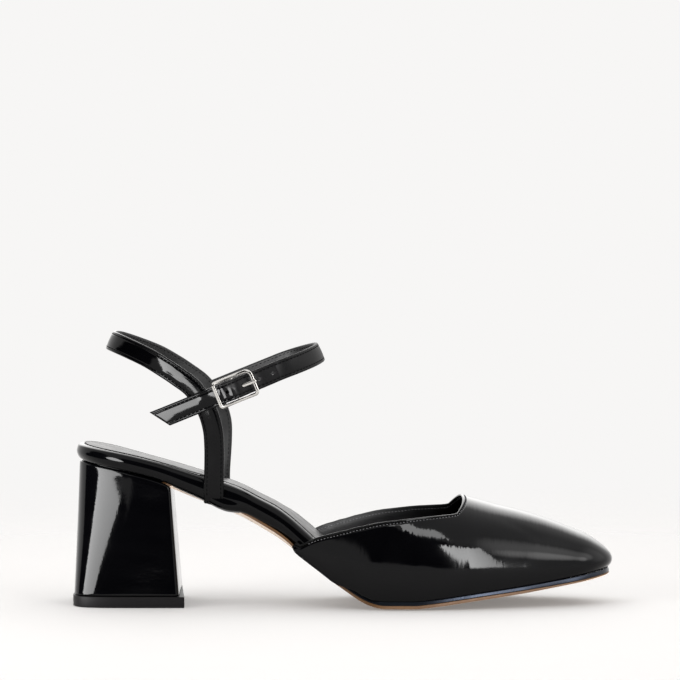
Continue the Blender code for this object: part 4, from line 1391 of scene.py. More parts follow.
@dataclass
class Vamp:
    """Closed toe: one shell with a folded topline, its lining and its stitches."""

    last: Last
    finishes: Finishes
    rear: float = -22.9
    wing_run: float = 4.0
    wing_thinness: float = 0.12
    throat_lateral: float = 50.0
    throat_medial: float = 47.0
    throat_bow: float = 3.9
    columns: int = 520
    side_steps: int = 400
    toe_steps: int = 120
    edge_rows: int = 12
    crown_rows: int = 80
    face_rows: int = 64
    fold_rows: int = 27
    fold_band: float = 4.0
    fold_band_share: float = 0.45
    least_face_share: float = 0.3
    topline_reach: int = 5
    rim_turns: int = 12
    rim_patent_rows: int = 8
    stitch_inset: float = 1.9
    unsewn_columns: int = 12
    groove_depth: float = 0.24
    groove_half_width: float = 0.42
    fold_swell: float = 0.12
    swell_inset: float = 0.9
    swell_half_width: float = 0.7
    skive: float = 0.5
    skive_run: float = 2.2
    creases: tuple[Crease, ...] = (
        Crease((26.6, -35.0, 35.3), (0.1, 0.15, 1.0), 7.0, 3.4, -0.16),
        Crease((80.4, -20.1, 34.2), (0.9, -0.05, -0.43), 9.0, 3.2, 0.14),
        Crease((2.0, -35.0, 16.0), (0.9, -0.1, -0.35), 12.0, 4.0, 0.15),
        Crease((68.0, 3.0, 43.5), (0.1, 1.0, 0.0), 14.0, 5.0, 0.12),
        Crease((26.0, 36.5, 33.0), (0.15, -0.1, 1.0), 9.0, 4.0, 0.15),
        Crease((78.0, 27.0, 31.0), (0.9, -0.1, -0.43), 9.0, 3.4, 0.14),
    )

    def outline(self) -> tuple[Array, Array]:
        """Return the widest line from the lateral rear round the toe to the medial rear.

        Returns:
            Points in plan at even spacing, and each one's distance along the line.
        """
        last = self.last
        run, steps = last.toe_round_from - self.rear, self.side_steps
        stations = [self.rear + run * i / steps for i in range(steps + 1)]
        stations += end_stations(last.toe_round_from, last.toe_tip, last.toe_squareness, self.toe_steps)
        lateral = [(x, last.middle(x) - last.half_width(x), 0.0) for x in stations]
        medial = [(x, last.middle(x) + last.half_width(x), 0.0) for x in stations[-2::-1]]
        line = np.array(lateral + medial)
        distances = np.linspace(0.0, lengths_along(line)[-1], self.columns)
        return sample(line, distances)[:, :2], distances

    def throat(self, share: float) -> Span:
        """Return the throat's edge in plan, from the lateral corner (-1) to the medial one (1)."""
        last = self.last
        corner = self.throat_lateral + (self.throat_medial - self.throat_lateral) * (share + 1) / 2
        x = corner + self.throat_bow * (1 - abs(share) ** 3)
        return x, last.middle(x) + share * last.topline_across(corner) * last.half_width(corner)

    def topline(self, outer: Array, distances: Array) -> Array:
        """Return the topline in plan.

        Args:
            outer: Widest line in plan.
            distances: Distances along it.

        Returns:
            The topline's place for each place on the widest line.
        """
        last = self.last
        tip = int(np.argmax(outer[:, 0]))
        lateral_corner = int(np.searchsorted(outer[:tip, 0], self.throat_lateral))
        medial_corner = tip + int(np.searchsorted(-outer[tip:, 0], -self.throat_medial))
        start, end = distances[lateral_corner], distances[medial_corner]
        inner = np.zeros_like(outer)
        for i, (x, y) in enumerate(outer):
            if lateral_corner < i < medial_corner:
                inner[i] = self.throat(2 * (distances[i] - start) / (end - start) - 1)
            else:
                side = Side.LATERAL if i <= tip else Side.MEDIAL
                inner[i] = (x, last.middle(x) + side * last.topline_across(x) * last.half_width(x))
        return smoothed(inner, self.topline_reach)

    def column(self, outer: Array, inner: Array, inward: Array) -> Array:
        """Return one fine line up the vamp, from its lower edge to its topline.

        Args:
            outer: Place on the widest line in plan.
            inner: Place on the topline in plan.
            inward: Direction towards the inside of the shoe.

        Returns:
            Points of the line.
        """
        last = self.last
        line = []
        low, high = last.vamp_edge(outer[0]), last.vamp_belly(outer[0])
        for i in range(self.edge_rows):
            share = i / self.edge_rows
            x, y = outer + inward * last.bulge(outer[0]) * (1 - share) ** 2
            line.append((x, y, low + (high - low) * share))
        for i in range(self.crown_rows + 1):
            x, y = outer + (inner - outer) * (i / self.crown_rows) ** 2
            half_width = last.half_width(x)
            across = (y - last.middle(x)) / half_width if half_width > LEAST_WIDTH and i else 1.0
            line.append((x, y, last.vamp_height(x, across)))
        return np.array(line)

    def face(self) -> tuple[Array, Array, Array, Array]:
        """Return the outer face without its fold.

        Returns:
            Points by row up the vamp and column round it, normals, directions up the face, and
            each row's distance from the topline by column.
        """
        outer, distances = self.outline()
        inner = self.topline(outer, distances)
        along = unit(np.gradient(outer, axis=0))
        inward = np.stack([-along[:, 1], along[:, 0]], axis=1)
        band = np.linspace(self.fold_band, 0.0, self.fold_rows)
        half_wall = self.last.wall / 2
        lines, depths = [], []
        for i in range(len(outer)):
            line = self.column(outer[i], inner[i], inward[i])
            length = lengths_along(line)[-1]
            end = max(length - half_wall, self.least_face_share * length)
            near = np.minimum(band, self.fold_band_share * end * band / band[0])
            places = np.concatenate([np.linspace(0.0, end - near[0], self.face_rows)[:-1], end - near])
            lines.append(sample(line, places))
            depths.append(end + half_wall - places)
        points = np.array(lines).transpose(1, 0, 2)
        up = unit(np.gradient(points, axis=0))
        round_it = unit(np.gradient(points, axis=1))
        normals = unit(np.cross(round_it, up))
        return points, normals, up, np.array(depths).T

    def relief(self, points: Array, depths: Array) -> Array:
        """Return how far the face stands out: its stitched groove, the fold's swell and its creases.

        Args:
            points: Points of the face.
            depths: Their distances from the topline.

        Returns:
            Distance out of the face at each point.
        """
        groove = np.exp(-(((depths - self.stitch_inset) / self.groove_half_width) ** 2))
        swell = np.exp(-(((depths - self.swell_inset) / self.swell_half_width) ** 2))
        out = self.fold_swell * swell - self.groove_depth * groove
        for crease in self.creases:
            out = out - crease.at(points)
        return out

    def build(self) -> None:
        """Build the shell, lined inside, and its row of stitches."""
        points, normals, up, depths = self.face()
        wall = self.last.wall
        spread = distances_to_ends(points[0])
        thin = rounded(spread / self.wing_run)
        half = (wall / 2 * (self.wing_thinness + (1 - self.wing_thinness) * thin))[:, None]
        points = points - normals * (wall - 2 * half)[None]
        faces = points + normals * (self.relief(points, depths) * thin)[..., None]
        skived = 1 - self.skive * np.exp(-((depths / self.skive_run) ** 2))
        thick = 2 * half[None] * skived[..., None]
        radius = thick[-1] / 2
        centre = points[-1] - normals[-1] * radius
        rim = []
        for i in range(1, self.rim_turns):
            angle = math.pi * i / self.rim_turns
            rim.append(centre + radius * (math.cos(angle) * normals[-1] + math.sin(angle) * up[-1]))
        inside = (points - normals * thick)[::-2]
        rows = np.concatenate([faces, np.array(rim), inside, faces[:1]])
        grid = rows.transpose(1, 0, 2)
        patent = len(faces) + self.rim_patent_rows
        slots = [0] * patent + [1] * (len(rows) - 1 - patent)
        # Faces along the stitched groove take the near-black seam finish: painted shade in the groove
        seam = np.abs(depths[:-1, self.columns // 2] - self.stitch_inset) < self.groove_half_width
        for row in np.flatnonzero(seam):
            slots[row] = 2
        finishes = [self.finishes.upper, self.finishes.lining, self.finishes.seam]
        made = loft("vamp_shell", grid, finishes, column_finish=slots)
        place_piece(made, "upper_patent", "vamp")
        self.sew(faces, normals, depths, points, thick)

    def sew(self, faces: Array, normals: Array, depths: Array, points: Array, thick: Array) -> None:
        """Sew the row of stitches below the topline, outside and inside.

        Args:
            faces: Points of the outer face, by row and column.
            normals: Directions out of it.
            depths: Distances from the topline.
            points: Points of the wall before its relief.
            thick: Thickness of the wall at each point.
        """
        keep = slice(self.unsewn_columns, -self.unsewn_columns)
        columns = np.arange(faces.shape[1])[keep]
        rows = np.argmin(np.abs(depths - self.stitch_inset), axis=0)[keep]
        out = normals[rows, columns]
        row = StitchRow(pitch=1.5, length=0.75)
        row.add(faces[rows, columns], out)
        row.add(points[rows, columns] - out * thick[rows, columns], -out)
        # The grey stitches carry painted highlights
        place_piece(row.finish("vamp_stitches", self.finishes.waxed_thread), "upper_patent")


def distances_to_ends(line: Array) -> Array:
    """Return each point's distance to the nearer end of its line."""
    lengths = lengths_along(line)
    return np.minimum(lengths, lengths[-1] - lengths)


@dataclass
class Ankle:
    """Oval of the ankle that both straps follow."""

    middle: float = 2.5
    rear_centre: float = -74.0
    rear_reach: float = 29.6
    front_centre: float = -29.0
    front_reach: float = 18.6
    half_width: float = 27.0
    lean: float = 0.45

    def facing(self, point: Array) -> Array:
        """Return the outward direction at a point, leaning up at the front and the back."""
        forward = 0.0
        if point[0] < self.rear_centre:
            forward = (point[0] - self.rear_centre) / self.rear_reach**2
        if point[0] > self.front_centre:
            forward = (point[0] - self.front_centre) / self.front_reach**2
        across = (point[1] - self.middle) / self.half_width**2
        if forward == 0.0:
            across = math.copysign(1.0, across)
        level = unit(np.array([forward, across, 0.0]))
        return unit(level + np.array([0.0, 0.0, self.lean * level[0] ** 2]))


@dataclass
class StrapSection:
    """Cross-section of a folded and stitched strap."""

    width: float = 8.8
    thickness: float = 1.6
    stitch_inset: float = 1.35
    groove_depth: float = 0.14
    groove_half_width: float = 0.34
    crown: float = 0.16
    outer_steps: int = 45
    inner_steps: int = 15
    edge_turns: int = 10
    patent_turns: int = 6

    def loop(self) -> tuple[Array, list[int]]:
        """Return the section as (across, out) points, and the material number of each step.

        Returns:
            Closed loop that starts at one edge of the outer face, and 0 for patent or 1 for lining.
        """
        half, radius = self.width / 2, self.thickness / 2
        flat = half - radius
        across = np.linspace(-flat, flat, self.outer_steps)
        place = half - self.stitch_inset
        crown = self.crown * np.clip(1 - (across / place) ** 2, 0.0, 1.0)
        groove = self.groove_depth * np.exp(-(((np.abs(across) - place) / self.groove_half_width) ** 2))
        outer = np.column_stack([across, radius + crown - groove])
        turn = [math.pi / 2 - math.pi * i / self.edge_turns for i in range(1, self.edge_turns)]
        right = np.array([(flat + radius * math.cos(a), radius * math.sin(a)) for a in turn])
        inner = np.column_stack(
            [np.linspace(flat, -flat, self.inner_steps), np.full(self.inner_steps, -radius)]
        )
        left = np.array([(-flat - radius * math.cos(a), -radius * math.sin(a)) for a in turn])
        loop = np.concatenate([outer, right, inner, left])
        slots = [0] * (len(outer) + self.patent_turns) + [1] * (len(inner) + self.patent_turns)
        slots += [0] * (len(loop) - len(slots))
        return loop, slots


@dataclass
class Ribbon:
    """Strap along a path, with a slanted cut at each end."""

    path: Array
    facing: Array
    section: StrapSection
    slants: Span = (0.0, 0.0)
    slant_run: float = 12.0
    end_round: float = 0.5
    end_thickness: float = 0.65
    stitch_sink: float = 0.6

    def __post_init__(self) -> None:
        """Work out the strap's own directions."""
        self.along = unit(np.gradient(self.path, axis=0))
        self.across = unit(np.cross(self.facing, self.along))
        self.out = unit(np.cross(self.along, self.across))
        self.lengths = lengths_along(self.path)
        first = np.clip(1 - self.lengths / self.slant_run, 0.0, 1.0) * self.slants[0]
        to_end = self.lengths[-1] - self.lengths
        last = np.clip(1 - to_end / self.slant_run, 0.0, 1.0) * self.slants[1]
        self.skew = (first + last) / self.section.width

    def sew(self, name: str, thread: Material, ends: Span) -> None:
        """Sew both edges of the strap on both faces.

        Args:
            name: Name of the object.
            thread: Material of the stitches.
            ends: Distances left unsewn at the strap's start and at its end.
        """
        row = StitchRow()
        for side in (-1, 1):
            row.add(*self.seam(side, *ends))
            row.add(*self.seam(side, *ends, inner=True))
        place_piece(row.finish(name, thread), "strap_patent")

    def points(self, across: Array, out: Array) -> Array:
        """Return a row of points at each place along the strap.

        Args:
            across: Distances across the strap, one for each column.
            out: Distances out of its middle, one for each column or for each row and column.

        Returns:
            Array of rows and columns.
        """
        made = self.path[:, None] + self.across[:, None] * across[None, :, None]
        made = made - self.along[:, None] * (self.skew[:, None] * across[None])[..., None]
        return made + self.out[:, None] * np.broadcast_to(out, made.shape[:2])[..., None]

    def build(self, name: str, finishes: Materials) -> Piece:
        """Make the strap with eased cut ends.

        Args:
            name: Name of the object.
            finishes: Materials of its outer face and of its lining.

        Returns:
            The object.
        """
        loop, slots = self.section.loop()
        least = self.end_thickness
        full = rounded(distances_to_ends(self.path) / self.end_round) * (1 - least) + least
        grid = self.points(loop[:, 0], loop[None, :, 1] * full[:, None])
        caps = [np.broadcast_to(grid[i].mean(axis=0), grid[i].shape)[None] for i in (0, -1)]
        closed = np.concatenate([caps[0], grid, caps[1]])
        return loft(name, closed, finishes, wrap=True, column_finish=slots)

    def seam(self, side: int, start: float, end: float, inner: bool = False) -> tuple[Array, Array]:
        """Return the path of a row of stitches along one edge, and its outward directions.

        Args:
            side: Edge of the strap, -1 or 1.
            start: Distance from the start of the strap.
            end: Distance from its end.
            inner: Whether the row is on the lining side.

        Returns:
            Points and directions.
        """
        section = self.section
        lift = section.thickness / 2 - section.groove_depth * self.stitch_sink
        place = np.array([side * (section.width / 2 - section.stitch_inset)])
        line = self.points(place, np.array([-lift if inner else lift]))[:, 0]
        keep = (self.lengths >= start) & (self.lengths <= self.lengths[-1] - end)
        return line[keep], (-self.out if inner else self.out)[keep]


def pressed(facing: Array, reach: int) -> Array:
    """Return outward directions evened out along a strap."""
    return unit(smoothed(facing, reach))


@dataclass
class HeelStrap:
    """Strap from the waist on the lateral side, behind the heel and down the medial side."""

    ankle: Ankle
    finishes: Finishes
    section: StrapSection = field(default_factory=StrapSection)
    tuck_top: float = 58.0
    medial_run: float = 14.0
    medial_shift: float = 1.8
    medial_rake: float = 1.2
    medial_rake_until: float = 82.0
    medial_drop: float = 1.5
    medial_drop_run: Span = (70.0, 95.0)
    end_slant: float = -3.6
    curve_steps: int = 16
    spacing: float = 0.7
    press_reach: int = 6
    unsewn_ends: Span = (5.0, 5.0)

    def __post_init__(self) -> None:
        """Lay out the centre line on one side, from its tuck to the middle of the back."""
        rows = (
            (-57.2, 20.0, 45.6),
            (-57.1, 22.5, 47.0),
            (-57.0, 24.4, 49.6),
            (-57.0, 25.15, 52.8),
            (-56.9, 25.6, self.tuck_top),
            (-56.8, 26.2, 71.0),
            (-57.6, 26.8, 80.0),
            (-60.4, 27.0, 88.5),
            (-66.0, 27.0, 97.0),
            (-72.9, 26.9, 102.4),
            (-79.3, 26.4, 106.6),
            (-86.2, 24.4, 110.6),
            (-94.0, 19.0, 114.0),
            (-100.6, 10.6, 116.4),
            (-103.2, 0.0, 116.9),
        )
        self.folds = [FoldRow(*row) for row in rows]

    def place(self, fold: FoldRow, side: Side) -> Point:
        """Place a fold on one side. The medial side leans forward and hangs lower.

        Args:
            fold: Point of the centre line.
            side: Side of the shoe.

        Returns:
            Its place in millimetres.
        """
        back = self.folds[-1].x
        inner = ease(fold.x, back, back + self.medial_run) if side is Side.MEDIAL else 0.0
        rake = self.medial_rake * ease(fold.z, self.tuck_top, self.medial_rake_until)
        shift = inner * (self.medial_shift + rake)
        drop = self.medial_drop * inner * ease(fold.z, *self.medial_drop_run)
        return fold.x + shift, self.ankle.middle + side * fold.out, fold.z - drop

    def build(self) -> None:
        """Build the strap and its stitches."""
        lateral = [self.place(fold, Side.LATERAL) for fold in self.folds]
        medial = [self.place(fold, Side.MEDIAL) for fold in self.folds[-2::-1]]
        path = resampled(spline(np.array(lateral + medial), self.curve_steps), self.spacing)
        along = unit(np.gradient(path, axis=0))
        facing = []
        for point, direction in zip(path, along):
            if point[2] < self.tuck_top:
                side = unit(np.cross((1.0, 0.0, 0.0), direction))
                facing.append(side if side[1] * (point[1] - self.ankle.middle) > 0 else -side)
            else:
                facing.append(self.ankle.facing(point))
        even = pressed(np.array(facing), self.press_reach)
        strap = Ribbon(path, even, self.section, (self.end_slant, -self.end_slant))
        made = strap.build("heel_strap_band", [self.finishes.strap, self.finishes.lining])
        place_piece(made, "strap_patent", "heel_strap")
        strap.sew("heel_strap_stitches", self.finishes.thread, self.unsewn_ends)


@dataclass
class BucklePlan:
    """Places of the ankle strap and the buckle, along the strap from the buckle's centre bar."""

    ankle: Ankle
    slope: float = 0.405
    x: float = -47.3
    z: float = 97.4
    reach: float = 8.7
    opening: float = 9.6
    corners: tuple[float, float, float, float] = (2.6, 0.9, 0.9, 1.5)
    wire_radius: float = 0.75
    bar_radius: float = 0.5
    prong_radius: float = 0.58
    gap: float = 0.3
    strap: float = 1.6
    tab: float = 0.8
    bar_off_ankle: float = 3.9
    bow: float = 2.1
    prong_past_bar: float = 1.3
    prong_eye_start: float = 200.0
    prong_eye_turn: float = 290.0
    prong_steps: int = 24

    def __post_init__(self) -> None:
        """Work out the distances from the ankle's middle plane."""
        self.angle = math.atan(self.slope)
        self.bar_out = self.ankle.half_width + self.bar_off_ankle
        self.end_bar_out = self.bar_out + self.bow
        self.eye = self.bar_radius + self.gap + self.prong_radius

    def place(self, along: float, out: float, lift: float = 0.0) -> Point:
        """Return a point on the strap's own axes.

        Args:
            along: Distance along the strap from the centre bar.
            out: Distance from the ankle's middle plane.
            lift: Distance across the strap, upwards.

        Returns:
            Its place in millimetres.
        """
        x = self.x + along * math.cos(self.angle) - lift * math.sin(self.angle)
        z = self.z + along * math.sin(self.angle) + lift * math.cos(self.angle)
        return x, self.ankle.middle - out, z

    def prong_line(self) -> Array:
        """Return the prong's line from its eye round the centre bar to its end on the front bar."""
        line = []
        steps = self.prong_steps
        for i in range(steps + 1):
            angle = math.radians(self.prong_eye_start - self.prong_eye_turn * i / steps)
            line.append(self.place(-self.eye * math.cos(angle), self.bar_out - self.eye * math.sin(angle)))
        end_out = self.end_bar_out + self.wire_radius + self.gap + self.prong_radius
        end, start_out = self.reach + self.prong_past_bar, self.bar_out + self.eye
        for i in range(1, steps + 1):
            share = i / steps
            line.append(self.place(end * share, start_out + (end_out - start_out) * share))
        return np.array(line)


@dataclass
class AnkleStrap:
    """Strap from its tail through the buckle and round the front of the ankle to the inner side."""

    plan: BucklePlan
    finishes: Finishes
    section: StrapSection = field(default_factory=StrapSection)
    tail_end: float = -36.0
    tail_slant: float = 6.2
    weave_reach: float = 7.4
    settle_run: float = 8.0
    settle_space: float = 1.0
    front_run: float = 6.0
    front_drop: float = 0.7
    medial_end: float = -62.0
    hole_radius: float = 0.75
    prong_hole_radius: float = 0.95
    punch_reach: float = 4.0
    holes: tuple[float, ...] = (-3.9, 11.4, 17.7)
    side_steps: int = 140
    front_turns: int = 110
    inner_steps: int = 40
    spacing: float = 0.6
    press_reach: int = 4
    unsewn_ends: Span = (4.5, 2.0)

    def __post_init__(self) -> None:
        """Work out the strap's levels over and under the buckle's bars."""
        plan = self.plan
        self.tail_out = plan.ankle.half_width + plan.strap + plan.tab + 2 * plan.gap
        self.under = plan.end_bar_out - plan.wire_radius - plan.gap - plan.strap / 2
        self.over = plan.bar_out + plan.bar_radius + 2 * plan.prong_radius + 2 * plan.gap + plan.strap / 2
        self.front_along = (plan.ankle.front_centre - plan.x) / math.cos(plan.angle)

    def out(self, along: float) -> float:
        """Return the strap's distance from the ankle's middle plane."""
        settled = self.plan.reach + self.settle_space
        woven = ease(along, -settled - self.settle_run, -settled)
        base = self.tail_out + (self.under - self.tail_out) * woven
        turned = ease(along, settled, self.front_along + self.front_run)
        base += (self.plan.ankle.half_width - base) * turned
        if abs(along) < self.weave_reach:
            base += (self.over - self.under) * (1 + math.cos(math.pi * along / self.weave_reach)) / 2
        return base

    def level(self, x: float) -> float:
        """Return the height of the strap past its straight side."""
        ankle, plan = self.plan.ankle, self.plan
        settle = self.front_drop * ease(x, ankle.front_centre, ankle.front_centre + ankle.front_reach)
        return plan.z + plan.slope * (x - plan.x) - settle

    def path(self) -> Array:
        """Return the strap's centre line."""
        ankle, plan = self.plan.ankle, self.plan
        line = []
        for i in range(self.side_steps + 1):
            along = self.tail_end + (self.front_along - self.tail_end) * i / self.side_steps
            line.append(plan.place(along, self.out(along)))
        start_out = self.out(self.front_along)
        medial_out = ankle.half_width + plan.strap + plan.gap
        turns = self.front_turns
        for i in range(1, turns + 1):
            angle = math.pi * (i / turns - 0.5)
            out = start_out + (medial_out - start_out) * i / turns
            x = ankle.front_centre + ankle.front_reach * math.cos(angle)
            line.append((x, ankle.middle + out * math.sin(angle), self.level(x)))
        for i in range(1, self.inner_steps + 1):
            x = ankle.front_centre + (self.medial_end - ankle.front_centre) * i / self.inner_steps
            line.append((x, ankle.middle + medial_out, self.level(x)))
        return resampled(np.array(line), self.spacing)

    def hole_cutters(self) -> list[Piece]:
        """Return the punches for the strap's holes and for the prong."""
        plan, lining = self.plan, self.finishes.lining
        made = []
        for along in self.holes:
            ends = (-self.punch_reach, self.punch_reach)
            line = np.array([plan.place(along, self.out(along) + out) for out in ends])
            made.append(wire(f"punch_{len(made)}", line, np.full(2, self.hole_radius), lining))
        prong = plan.prong_line()[plan.prong_steps :]
        made.append(wire("prong_punch", prong, np.full(len(prong), self.prong_hole_radius), lining))
        for cutter in made:
            shape = bmesh.new()
            shape.from_mesh(cutter.data)
            bmesh.ops.holes_fill(shape, edges=shape.edges, sides=0)
            bmesh.ops.recalc_face_normals(shape, faces=shape.faces)
            shape.to_mesh(cutter.data)
            shape.free()
        return made

    def build(self) -> None:
        """Build the strap with its holes and its stitches."""
        path = self.path()
        facing = np.array([self.plan.ankle.facing(point) for point in path])
        facing = pressed(facing, self.press_reach)
        strap = Ribbon(path, facing, self.section, (self.tail_slant, 0.0))
        made = strap.build("ankle_strap_band", [self.finishes.ankle_strap, self.finishes.lining])
        carve(made, self.hole_cutters())
        place_piece(made, "strap_patent", "ankle_strap")
        strap.sew("ankle_strap_stitches", self.finishes.thread, self.unsewn_ends)


@dataclass
class Buckle:
    """Bowed wire frame with its centre bar, its prong and the folded tab that holds it."""

    plan: BucklePlan
    finishes: Finishes
    wire_spacing: float = 0.25
    wire_flatness: float = 0.8
    wire_squareness: float = 2.8
    corner_steps: int = 12
    bar_steps: int = 12
    prong_half_width: float = 0.76
    prong_squareness: float = 2.5
    prong_spacing: float = 0.15
    tab_width: float = 6.5
    tab_start: float = -19.5
    tab_flat_end: float = -9.0
    tab_flat_steps: int = 10
    tab_rise: Span = (-5.0, 0.35)
    tab_fold_turn: float = 100.0
    tab_fold_steps: int = 16
    tab_return: tuple[Span, ...] = ((-2.6, 0.55), (-4.4, -0.45))
    tab_curve_steps: int = 4
    tab_spacing: float = 0.25
    slot_along: float = 0.35
    slot_size: Point = (5.3, 6.0, 2.4)

    def build_frame(self) -> None:
        """Make the frame and its centre bar."""
        plan = self.plan
        half = plan.opening / 2 + plan.wire_radius
        outline = []
        for turn in range(4):
            corner = plan.corners[turn]
            centre_along = (plan.reach - corner) * (1 if turn in (0, 3) else -1)
            centre_lift = (half - corner) * (1 if turn in (0, 1) else -1)
            for i in range(self.corner_steps + 1):
                angle = math.pi / 2 * (turn + i / self.corner_steps)
                along = centre_along + corner * math.cos(angle)
                outline.append((along, centre_lift + corner * math.sin(angle)))
        flat = np.array([(along, lift, 0.0) for along, lift in outline + outline[:1]])
        even = resampled(flat, self.wire_spacing)[:-1]
        bow = plan.end_bar_out - plan.bar_out
        line = [plan.place(a, plan.bar_out + bow * (a / plan.reach) ** 2, b) for a, b, _ in even]
        section = {"flatness": self.wire_flatness, "squareness": self.wire_squareness}
        section.update(closed=True, facing=OUTWARD)
        radii = np.full(len(line), plan.wire_radius)
        frame = wire("buckle_wire", np.array(line), radii, self.finishes.nickel, **section)
        lifts = np.linspace(-half, half, self.bar_steps)
        bar_line = np.array([plan.place(0.0, plan.bar_out, lift) for lift in lifts])
        bar = wire("buckle_bar", bar_line, np.full(len(lifts), plan.bar_radius), self.finishes.nickel)
        place_piece(frame, "buckle_metal", "buckle_frame")
        place_piece(bar, "buckle_metal")

    def build_prong(self) -> None:
        """Make the prong, with both ends rounded off."""
        line = resampled(self.plan.prong_line(), self.prong_spacing)
        radii = self.prong_half_width * rounded(distances_to_ends(line) / self.plan.prong_radius)
        flatness = self.plan.prong_radius / self.prong_half_width
        section = {"flatness": flatness, "squareness": self.prong_squareness}
        made = wire("prong_pin", line, radii, self.finishes.nickel, facing=OUTWARD, **section)
        place_piece(made, "buckle_metal", "buckle_prong")

    def build_tab(self) -> None:
        """Make the folded tab with its slot."""
        plan = self.plan
        flat_out = plan.ankle.half_width + plan.strap / 2 + plan.gap + plan.tab / 2
        fold = plan.bar_radius + plan.gap + plan.tab / 2
        line = []
        for i in range(self.tab_flat_steps + 1):
            along = self.tab_start + (self.tab_flat_end - self.tab_start) * i / self.tab_flat_steps
            line.append(plan.place(along, flat_out))
        along, lift = self.tab_rise
        line.append(plan.place(along, flat_out + lift))
        for i in range(self.tab_fold_steps + 1):
            angle = math.radians(-self.tab_fold_turn + 2 * self.tab_fold_turn * i / self.tab_fold_steps)
            line.append(plan.place(fold * math.cos(angle), plan.bar_out + fold * math.sin(angle)))
        line += [plan.place(along, plan.bar_out + lift) for along, lift in self.tab_return]
        path = resampled(spline(np.array(line), self.tab_curve_steps), self.tab_spacing)
        up = np.array(plan.place(0.0, 0.0, 1.0)) - np.array(plan.place(0.0, 0.0))
        facing = unit(np.cross(unit(np.gradient(path, axis=0)), up))
        section = StrapSection(width=self.tab_width, thickness=plan.tab, groove_depth=0.0, crown=0.0)
        made = Ribbon(path, facing, section).build("tab_band", [self.finishes.strap, self.finishes.lining])
        slot = bmesh.new()
        middle = Vector(plan.place(self.slot_along, plan.bar_out)) * MM
        size = Matrix.Diagonal((*(side * MM for side in self.slot_size), 1.0))
        turn = Matrix.Rotation(-plan.angle, 4, "Y")
        bmesh.ops.create_cube(slot, size=1.0, matrix=Matrix.Translation(middle) @ turn @ size)
        carve(made, [keep_shape("tab_slot", slot, [self.finishes.lining])])
        place_piece(made, "strap_patent", "buckle_tab")

    def build(self) -> None:
        """Build the buckle's pieces."""
        self.build_tab()
        self.build_frame()
        self.build_prong()


class Softbox(NamedTuple):
    """Studio light, seen from the shoe: where it is, how far it reaches and its roll, in degrees.

    Azimuth runs from the camera's side (0) over the toe's side (90). Brightness is given at both
    sides. A light may be kept to some pieces, shaded by some pieces only, oval, or hung close to a
    place on the shoe.
    """

    name: str
    azimuth: float
    elevation: float
    breadth: float
    height: float
    radiance: Span
    roll: float = 0.0
    only_for: tuple[str, ...] = ()
    shaded_by: tuple[str, ...] = ()
    oval: bool = False
    seen_from: Point = (0.0, 0.0, 0.0)
    distance: float = 1.6


class WallPatch(NamedTuple):
    """Round patch of the studio's walls: its middle and how far it is even and reaches, in degrees.

    A glow adds its radiance to the walls, and a shade leaves them dark.
    """

    azimuth: float
    elevation: float
    even: float
    reach: float
    radiance: float = 0.0


def direction(azimuth: float, elevation: float) -> Vector:
    """Return the direction at an azimuth from the camera's side and an elevation, in degrees."""
    turn, lift = math.radians(azimuth), math.radians(elevation)
    return Vector((math.sin(turn) * math.cos(lift), -math.cos(turn) * math.cos(lift), math.sin(lift)))


